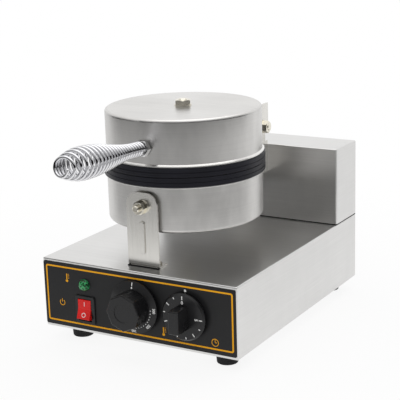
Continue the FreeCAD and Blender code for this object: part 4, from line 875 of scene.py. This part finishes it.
@dataclass
class ControlPanel(SubAssembly):
    """The black front plate with its printed border and plain signs."""

    border_half: Flat = (120.5 * MM, 33.1 * MM)
    border_centre: float = 57.9 * MM
    border_width: float = 1.8 * MM
    border_corner: float = 2.6 * MM
    border_inner_corner: float = 1.2 * MM
    signs: tuple[tuple[Sign, Flat], ...] = (
        (Sign.THERMOMETER, (-92.0 * MM, 78.0 * MM)),
        (Sign.POWER, (-100.0 * MM, 48.0 * MM)),
        (Sign.THERMOMETER, (34.0 * MM, 34.8 * MM)),
        (Sign.CLOCK, (98.0 * MM, 33.0 * MM)),
    )
    sign_line: float = 0.75 * MM
    bulb_drop: float = 3.2 * MM
    bulb_radius: float = 1.7 * MM
    stem: Flat = (-2.2 * MM, 5.0 * MM)
    stem_width: float = 1.3 * MM
    tick_count: int = 4
    tick_first: float = -0.2 * MM
    tick_step: float = 1.6 * MM
    tick_span: Flat = (1.5 * MM, 3.2 * MM)
    tick_line: float = 0.5 * MM
    power_radius: float = 3.3 * MM
    power_arc: Flat = (35.0, 290.0)
    power_stroke: Flat = (0.6 * MM, 4.6 * MM)
    clock_radius: float = 4.0 * MM
    long_hand: float = 3.0 * MM
    short_hand: float = 2.1 * MM
    index_place: Flat = (62.9 * MM, 85.6 * MM)
    index_radius: float = 1.45 * MM
    front: float = field(default_factory=panel_front)

    def face(self, across: float, up: float, lift: float) -> Vector:
        """Returns a point on the plate's front."""
        return Vector((across, self.front - lift, up))

    def border(self, ink: Ink) -> None:
        """Prints the border line."""
        width, high = self.border_half
        outer = rounded_box(self.border_half, self.border_corner)
        inner = rounded_box((width - self.border_width, high - self.border_width), self.border_inner_corner)
        lifted = [[(across, up + self.border_centre) for across, up in line] for line in (outer, inner)]
        ink.frame(*lifted)

    def thermometer(self, ink: Ink, centre: Flat) -> None:
        """Prints a plain thermometer: a bulb, a stem and ticks beside it."""
        across, up = centre
        low, high = self.stem
        near, far = self.tick_span
        ink.dot((across, up - self.bulb_drop), self.bulb_radius)
        ink.bar((across, up + low), (across, up + high), self.stem_width)
        for step in range(self.tick_count):
            tick = up + self.tick_first + step * self.tick_step
            ink.bar((across + near, tick), (across + far, tick), self.tick_line)

    def power(self, ink: Ink, centre: Flat) -> None:
        """Prints a plain power sign: an open ring and a stroke."""
        across, up = centre
        low, high = self.power_stroke
        ink.arc(centre, self.power_radius, self.sign_line, *self.power_arc)
        ink.bar((across, up + low), (across, up + high), self.sign_line)

    def clock(self, ink: Ink, centre: Flat) -> None:
        """Prints a plain clock: a ring and two hands."""
        across, up = centre
        ink.arc(centre, self.clock_radius, self.sign_line)
        ink.bar(centre, (across, up + self.long_hand), self.sign_line)
        ink.bar(centre, (across + self.short_hand, up), self.sign_line)

    def build(self) -> None:
        """Dresses the plate and prints on it."""
        self.dress(PANEL_BLACK, "front_label")
        border = Ink(self.face)
        self.border(border)
        self.seat(border.solid.piece("panel_border", ORANGE_INK), "base", "panel_black")
        draw = {Sign.THERMOMETER: self.thermometer, Sign.POWER: self.power, Sign.CLOCK: self.clock}
        signs = Ink(self.face)
        for sign, centre in self.signs:
            draw[sign](signs, centre)
        self.seat(signs.solid.piece("panel_signs", ORANGE_INK), "base", "panel_black")
        index = Ink(self.face)
        index.dot(self.index_place, self.index_radius)
        self.seat(index.solid.piece("timer_index", WHITE_INK), "base", "panel_black")


@dataclass
class RockerSwitch(SubAssembly):
    """The mains switch: a black bezel and a red rocker with its two marks."""

    pivot: Vector = field(default_factory=lambda: Vector((-68.0, -94.9, 44.0)) * MM)
    lean: float = math.radians(79.0)
    half_height: float = 11.4 * MM
    rim: float = 6.2 * MM
    dip: float = 4.4 * MM
    mark_line: float = 0.62 * MM
    bar_mark: Flat = (3.6 * MM, 8.6 * MM)
    ring_mark: float = -6.2 * MM
    ring_radius: float = 2.3 * MM

    def face(self, across: float, up: float, lift: float) -> Vector:
        """Returns a point on one of the rocker's two faces."""
        out = self.dip + (self.rim - self.dip) * abs(up) / self.half_height + lift
        return self.pivot + Matrix.Rotation(self.lean, 3, "X") @ Vector((across, up, out))

    def build(self) -> None:
        """Dresses the switch and prints its marks."""
        self.dress(BLACK_PLASTIC, "switch_body")
        self.dress(RED_PLASTIC, "switch_rocker")
        marks = Ink(self.face)
        low, high = self.bar_mark
        marks.bar((0.0, low), (0.0, high), self.mark_line)
        marks.arc((0.0, self.ring_mark), self.ring_radius, self.mark_line)
        self.seat(marks.solid.piece("rocker_marks", WHITE_INK), "rocker", "red_plastic")


@dataclass
class PilotLamp(SubAssembly):
    """The green lamp with its faceted lens."""

    flats: int = 12
    rows: tuple[Flat, ...] = (
        (6.95 * MM, 0.0),
        (6.95 * MM, 1.5 * MM),
        (6.2 * MM, 3.3 * MM),
        (4.5 * MM, 5.0 * MM),
        (2.1 * MM, 5.95 * MM),
    )

    def lens(self) -> bpy.types.Object:
        """Cuts the lens.

        Returns:
            The lens, with each row of facets turned half a step from the last.
        """
        low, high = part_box("lamp_lens")
        centre = (low + high) / 2
        foot = panel_front()
        solid = Solid()
        rings = []
        for number, (radius, out) in enumerate(self.rows):
            half = 180.0 / self.flats * max(0, number - 1)
            outline = circle((centre.x, centre.z), radius, half, steps=self.flats)
            rings.append([Vector((across, foot - out, up)) for across, up in outline])
        solid.skin(rings)
        bmesh.ops.triangulate(solid.form, faces=solid.form.faces)
        return solid.piece("lamp_cut_lens", GREEN_LENS, smooth=False)

    def build(self) -> None:
        """Cuts the lens and dresses its holder."""
        self.dress(BLACK_PLASTIC, "lamp_holder")
        self.dress(GREEN_LENS, "lamp_lens")
        self.seat(self.lens(), "base", "green_lens", "lamp_lens")


@dataclass
class ThermostatControl(SubAssembly):
    """The heat control: a knob with a scale on its skirt, its shaft, body and bulb."""

    centre: Flat = (0.0, 59.0 * MM)
    slope_inner: Flat = (21.5 * MM, 8.0 * MM)
    slope_outer: Flat = (30.0 * MM, 6.0 * MM)
    first_number: int = 100
    number_step: int = 50
    number_count: int = 5
    number_turn: float = 45.0
    number_ring: float = 26.6 * MM
    number_size: float = 4.0 * MM
    first_turn: float = 90.0
    dots_to_number: int = 5
    dot_ring: float = 23.0 * MM
    dot_radius: float = 0.55 * MM
    index_span: Flat = (24.8 * MM, 28.8 * MM)
    index_line: float = 0.9 * MM
    index_dot: float = 0.9 * MM
    front: float = field(default_factory=panel_front)

    def face(self, across: float, up: float, lift: float) -> Vector:
        """Returns a point on the knob's skirt."""
        far = math.hypot(across - self.centre[0], up - self.centre[1])
        share = (far - self.slope_inner[0]) / (self.slope_outer[0] - self.slope_inner[0])
        out = self.slope_inner[1] + (self.slope_outer[1] - self.slope_inner[1]) * min(1.0, max(0.0, share))
        return Vector((across, self.front - out - lift, up))

    def build(self) -> None:
        """Dresses the control and prints its scale."""
        self.dress(BLACK_PLASTIC, "thermostat_knob")
        self.dress(NICKEL, "thermostat_shaft")
        self.dress(GREY_PLASTIC, "thermostat_body")
        self.dress(BRASS, "thermostat_bulb")
        scale = Ink(self.face)
        scale.spoke(self.centre, 0.0, *self.index_span, self.index_line)
        scale.dot(on_dial(self.centre, self.dot_ring, 0.0), self.index_dot)
        for number in range(self.number_count):
            turn = self.first_turn + self.number_turn * number
            digits = str(self.first_number + self.number_step * number)
            scale.number(digits, on_dial(self.centre, self.number_ring, turn), turn, self.number_size)
        step = self.number_turn / self.dots_to_number
        for number in range(1 + (self.number_count - 1) * self.dots_to_number):
            scale.dot(on_dial(self.centre, self.dot_ring, self.first_turn + step * number), self.dot_radius)
        self.seat(scale.solid.piece("thermostat_scale", WHITE_INK), "thermostat_control", "black_plastic")


@dataclass
class TimerControl(SubAssembly):
    """The timer: a knob with a bar grip and a scale, its shaft and body."""

    centre: Flat = (63.4 * MM, 58.0 * MM)
    out: float = 8.0 * MM
    tick_step: float = 27.0
    tick_count: int = 11
    tick_starts: Flat = (20.0 * MM, 21.8 * MM)
    tick_end: float = 24.0 * MM
    tick_line: float = 1.0 * MM
    numbers: tuple[tuple[str, float], ...] = (("0", 0.0), ("5", 270.0))
    number_ring: float = 16.6 * MM
    number_size: float = 5.2 * MM
    front: float = field(default_factory=panel_front)

    def face(self, across: float, up: float, lift: float) -> Vector:
        """Returns a point on the knob's flat face."""
        return Vector((across, self.front - self.out - lift, up))

    def build(self) -> None:
        """Dresses the timer and prints its scale."""
        self.dress(BLACK_PLASTIC, "timer_knob")
        self.dress(NICKEL, "timer_shaft", "control_screws")
        self.dress(GREY_PLASTIC, "timer_body")
        scale = Ink(self.face)
        for number in range(self.tick_count):
            start = self.tick_starts[number % 2]
            scale.spoke(self.centre, self.tick_step * number, start, self.tick_end, self.tick_line)
        for digits, turn in self.numbers:
            scale.number(digits, on_dial(self.centre, self.number_ring, turn), turn, self.number_size)
        self.seat(scale.solid.piece("timer_scale", WHITE_INK), "timer_control", "black_plastic")


@dataclass
class BakingPan(SubAssembly):
    """The two round shells with their plates, heaters and insulation, and the lid's flared rim.

    The rim's section is in millimetres, out from the shell's wall and up from the lip's middle.
    """

    centre: Vector = field(default_factory=lambda: Vector((0.0, 16.0, 211.6)) * MM)
    radius: float = 88.5 * MM
    rim_section: tuple[Flat, ...] = (
        (-0.3, 1.2), (0.06, 1.2), (0.6, 0.72), (1.3, 0.32), (1.9, 0.06),
        (2.16, -0.24), (2.27, -0.7), (2.24, -1.2), (2.0, -1.5), (-0.3, -1.5))
    steps: int = 160

    def rim(self) -> bpy.types.Object:
        """Turns the bright flared rim round the foot of the lid's shell.

        Returns:
            A ring over the shell's lip.
        """
        rings = []
        for step in range(self.steps):
            angle = 2 * math.pi * step / self.steps
            outward = Vector((math.sin(angle), math.cos(angle), 0.0))
            ring = []
            for out, up in self.rim_section:
                ring.append(self.centre + outward * (self.radius + out * MM) + Vector((0, 0, up * MM)))
            rings.append(ring)
        solid = Solid()
        solid.skin(rings, closed=True)
        return solid.piece("lid_flared_rim", RIM_STEEL)

    def build(self) -> None:
        """Dresses the pan, inside and out, and adds the rim."""
        self.seat(self.rim(), "lid", "stainless")
        self.dress(PAN_STEEL, "lower_shell", "upper_shell")
        self.dress(PLATE_COAT, "lower_plate", "upper_plate")
        self.dress(HEATER_STEEL, "lower_heater", "upper_heater", "lower_clamp", "upper_clamp")
        self.dress(FIBRE, "lower_insulation", "upper_insulation")
        for side in ("lower", "upper"):
            self.dress(NICKEL, f"{side}_stud", f"{side}_nuts", f"{side}_washer")


@dataclass
class Supports(SubAssembly):
    """The front bracket and the hinge, with their bolts."""

    def build(self) -> None:
        """Dresses the straps and their fixings."""
        self.dress(STRAP_STEEL, "front_bracket", "hinge_bracket", "hinge_arm")
        self.dress(NICKEL, "bracket_bolt", "bracket_spacer", "bracket_foot_screws")
        self.dress(NICKEL, "bolt_nuts", "bolt_washers", "hinge_bolt", "hinge_tube")
        self.dress(NICKEL, "hinge_bracket_bolts", "hinge_arm_bolts", "hinge_flange_screws")


@dataclass
class CoilHandle(SubAssembly):
    """The grip: a wire wound to a swelling coil round a rod."""

    pan_centre: Vector = field(default_factory=lambda: Vector((0.0, 16.0, 230.5)) * MM)
    pan_radius: float = 88.5 * MM
    turn: float = math.radians(2.0)
    lift: float = math.radians(4.5)
    start: float = 9.0 * MM
    length: float = 148.85 * MM
    wire: float = 1.75 * MM
    turns: int = 22
    first_pitch: float = 4.9 * MM
    root_radius: float = 6.65 * MM
    belly_radius: float = 15.65 * MM
    tip_radius: float = 7.5 * MM
    root_end: float = 14.0 * MM
    belly_at: float = 109.81 * MM
    steps: int = 44
    sides: int = 12

    def radius_at(self, way: float) -> float:
        """Returns the coil's radius.

        Args:
            way: the distance along the grip from the coil's start.

        Returns:
            The radius of the wire's middle line.
        """
        if way < self.root_end:
            return self.root_radius
        if way < self.belly_at:
            share = (way - self.root_end) / (self.belly_at - self.root_end)
            swell = 0.5 * (1 - math.cos(math.pi * share))
            return self.root_radius + (self.belly_radius - self.root_radius) * swell
        share = (way - self.belly_at) / (self.length - self.belly_at)
        drawn_in = 1 - math.cos(0.5 * math.pi * share)
        return self.belly_radius - (self.belly_radius - self.tip_radius) * drawn_in

    def path(self) -> list[Vector]:
        """Returns the points of the wire's middle line."""
        outward = Vector((math.sin(self.turn), -math.cos(self.turn), 0.0))
        entry = self.pan_centre + outward * self.pan_radius
        axis = outward * math.cos(self.lift) + Vector((0, 0, 1)) * math.sin(self.lift)
        aim = Vector((0, 0, 1)).rotation_difference(axis)
        growth = 2 * ((self.length - 2 * self.wire) / self.turns - self.first_pitch) / self.turns
        points = []
        for step in range(self.turns * self.steps + 1):
            wound = step / self.steps
            way = self.wire + self.first_pitch * wound + 0.5 * growth * wound * wound
            radius, angle = self.radius_at(way), 2 * math.pi * wound
            local = Vector((radius * math.cos(angle), radius * math.sin(angle), self.start + way))
            points.append(entry + aim @ local)
        return points

    def build(self) -> None:
        """Winds the grip and dresses its rod."""
        self.dress(ZINC, "handle_rod", "handle_nuts")
        self.dress(CHROME, "handle_coil")
        coil = Solid()
        coil.tube(self.path(), self.wire, self.sides)
        self.seat(coil.piece("handle_grip_coil", CHROME), "lid", "coil_chrome", "handle_coil")


@dataclass
class Studio:
    """The sky, the floor, the grey card, the lamp and the camera."""

    target: Vector = field(default_factory=lambda: Vector((-7.78, 60.5, 139.3)) * MM)
    azimuth: float = math.radians(30.533)
    elevation: float = math.radians(14.832)
    roll: float = math.radians(-1.745)
    distance: float = 1422.1 * MM
    lens: float = 108.0
    sensor: float = 36.0
    ground_gap: float = 0.2 * MM
    floor_rings: tuple[float, ...] = (0.001, 0.2, 0.45, 0.9, 2.0, 6.0)
    floor_steps: int = 48
    paint_dark: Colour = (0.90, 0.90, 0.90)
    paint_light: Colour = (0.93, 0.93, 0.93)
    paint_waves: float = 60.0
    fade_least: float = 0.87
    fade_near: float = 0.30
    fade_far: float = 0.75
    sky_level: float = 0.85
    lamp_level: float = 8.0
    lamp_size: float = 2.0
    lamp_place: Triple = (0.25, 0.15, 1.9)
    card_radius: float = 0.52
    card_height: float = 0.60
    card_from: float = -88.0
    card_to: float = 128.0
    card_steps: int = 44
    card_levels: tuple[Flat, ...] = (
        (0.0, 0.39), (0.045, 0.30), (0.085, 0.39), (0.13, 0.54), (0.155, 0.50),
        (0.195, 0.015), (0.335, 0.015), (0.385, 0.50))
    dark_edge: Flat = (0.155, 0.195)
    left_from: float = -10.0
    left_to: float = -45.0
    left_lift: float = 0.07
    side_from: float = 42.0
    side_to: float = 116.0
    side_low: float = 0.07
    side_high: float = 0.42
    side_edge: Flat = (0.05, 0.15)

    def seen(self, board: Board) -> Wire:
        """Returns 1 for the rays that see the background straight, in gloss or through glass."""
        light = board.add("ShaderNodeLightPath", out="Is Camera Ray")
        return light.larger(light.other("Is Glossy Ray")).larger(light.other("Is Transmission Ray"))

    def world(self) -> None:
        """Makes the sky: white where it is seen, and a plain grey level as light."""
        world = bpy.data.worlds.new("studio")
        world.use_nodes = True
        bpy.context.scene.world = world
        board = Board(world.node_tree)
        light = board.add("ShaderNodeBackground", None, {"Color": (1, 1, 1, 1), "Strength": self.sky_level})
        white = board.add("ShaderNodeBackground", None, {"Color": (1, 1, 1, 1), "Strength": 1.0})
        both = board.add("ShaderNodeMixShader", None, {0: self.seen(board), 1: light, 2: white})
        board.node("ShaderNodeOutputWorld", None, {"Surface": both})

    def sheet(
        self, name: str, rows: Sequence[Sequence[Vector]], surface: Callable[[Board], Wire]
    ) -> bpy.types.Object:
        """Makes an open sheet of the stage.

        Args:
            name: its name.
            rows: its points, row by row.
            surface: makes its shader.

        Returns:
            The sheet.
        """
        form = bmesh.new()
        made = [[form.verts.new(point) for point in row] for row in rows]
        for low, high in zip(made, made[1:]):
            for here in range(len(low) - 1):
                form.faces.new((low[here], low[here + 1], high[here + 1], high[here]))
        mesh = bpy.data.meshes.new(name)
        form.to_mesh(mesh)
        form.free()
        material = bpy.data.materials.new(name)
        material.use_nodes = True
        board = Board(material.node_tree)
        board.node("ShaderNodeOutputMaterial", None, {"Surface": surface(board)})
        mesh.materials.append(material)
        sheet = bpy.data.objects.new(name, mesh)
        bpy.context.scene.collection.objects.link(sheet)
        return sheet

    def floor_surface(self, board: Board) -> Wire:
        """Makes the floor's shader: white paint that fades to plain white with distance.

        Args:
            board: the tree to add to.

        Returns:
            The shader.
        """
        far = board.add("ShaderNodeVectorMath", {"operation": "LENGTH"}, {0: board.place()}, "Value")
        colour = board.blend(board.even_noise(self.paint_waves), self.paint_dark, self.paint_light)
        paint = board.add("ShaderNodeBsdfDiffuse", None, {"Color": colour})
        white = board.add("ShaderNodeEmission", None, {"Color": (1, 1, 1, 1), "Strength": 1.0})
        fading = (1 - self.fade_least) * far.rise(self.fade_near, self.fade_far)
        fade = (self.fade_least + fading) * self.seen(board)
        return board.add("ShaderNodeMixShader", None, {0: fade, 1: paint, 2: white})

    def floor(self) -> None:
        """Lays the floor just under the feet."""
        turns = [2 * math.pi * step / self.floor_steps for step in range(self.floor_steps + 1)]
        rows = []
        for radius in self.floor_rings:
            points = [(radius * math.cos(t), radius * math.sin(t)) for t in turns]
            rows.append([Vector((across, along, -self.ground_gap)) for across, along in points])
        self.sheet("floor", rows, self.floor_surface)

    def card_surface(self, board: Board) -> Wire:
        """Makes the grey card's shader: grey below, a dark band halfway up, and lighter ends.

        Args:
            board: the tree to add to.

        Returns:
            The shader.
        """
        across = board.add("ShaderNodeSeparateXYZ", None, {0: board.place()})
        height = across.other("Z")
        turn = across.angle(0 - across.other("Y"))
        level: Wire | float = self.card_levels[0][1]
        for (start, low), (stop, high) in zip(self.card_levels, self.card_levels[1:]):
            level = level + height.rise(start, stop) * (high - low)
        side = turn.rise(math.radians(self.side_from), math.radians(self.side_to))
        left = 1.0 - turn.rise(math.radians(self.left_to), math.radians(self.left_from))
        reach = self.side_low + height.rise(*self.side_edge) * (self.side_high - self.side_low)
        kept = 1.0 - height.rise(*self.dark_edge)
        level = level + kept * (side * reach + left * self.left_lift)
        colour = board.blend(level, (0, 0, 0), (1, 1, 1))
        return board.add("ShaderNodeEmission", None, {"Color": colour, "Strength": 1.0})

    def card(self) -> None:
        """Stands a grey card in front, which only the gloss of the metal sees."""
        rows = []
        for high in (self.ground_gap, 0.5 * self.card_height, self.card_height):
            row = []
            for step in range(self.card_steps + 1):
                turn = math.radians(self.card_from + (self.card_to - self.card_from) * step / self.card_steps)
                across, along = self.card_radius * math.sin(turn), -self.card_radius * math.cos(turn)
                row.append(Vector((across, along, high)))
            rows.append(row)
        card = self.sheet("front_card", rows, self.card_surface)
        card.visible_camera = False
        card.visible_diffuse = False
        card.visible_shadow = False
        card.visible_transmission = False

    def lamp(self) -> None:
        """Hangs one wide soft lamp overhead."""
        light = bpy.data.lights.new("soft_box", "AREA")
        light.shape = "SQUARE"
        light.size = self.lamp_size
        light.energy = self.lamp_level
        holder = bpy.data.objects.new("soft_box", light)
        holder.location = self.lamp_place
        bpy.context.scene.collection.objects.link(holder)

    def camera(self) -> None:
        """Sets the camera at the photograph's angle."""
        level, high = math.cos(self.elevation), math.sin(self.elevation)
        back = Vector((math.sin(self.azimuth) * level, -math.cos(self.azimuth) * level, high))
        right = Vector((0, 0, 1)).cross(back).normalized()
        up = back.cross(right)
        cos, sin = math.cos(self.roll), math.sin(self.roll)
        rolled_right, rolled_up = right * cos + up * sin, up * cos - right * sin
        data = bpy.data.cameras.new("camera")
        data.lens = self.lens
        data.sensor_width = self.sensor
        camera = bpy.data.objects.new("camera", data)
        turn = Matrix((rolled_right, rolled_up, back)).transposed().to_4x4()
        camera.matrix_world = Matrix.Translation(self.target + back * self.distance) @ turn
        bpy.context.scene.collection.objects.link(camera)
        bpy.context.scene.camera = camera

    def build(self) -> None:
        """Builds the whole stage."""
        self.world()
        self.floor()
        self.card()
        self.lamp()
        self.camera()
        bpy.context.scene.view_settings.view_transform = "Standard"


def clear_scene() -> None:
    """Removes whatever the scene starts with."""
    for stray in list(bpy.data.objects):
        bpy.data.objects.remove(stray)


def main() -> None:
    """Loads the frame, builds each group of pieces in order and sets the stage."""
    logging.basicConfig(level=logging.INFO, format="%(name)s: %(message)s")
    clear_scene()
    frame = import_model()
    groups = (
        Housing,
        ControlPanel,
        RockerSwitch,
        PilotLamp,
        ThermostatControl,
        TimerControl,
        BakingPan,
        Supports,
        CoilHandle,
    )
    for group in groups:
        group(frame["nodes"]).build()
    Studio().build()


if __name__ == "__main__":
    main()
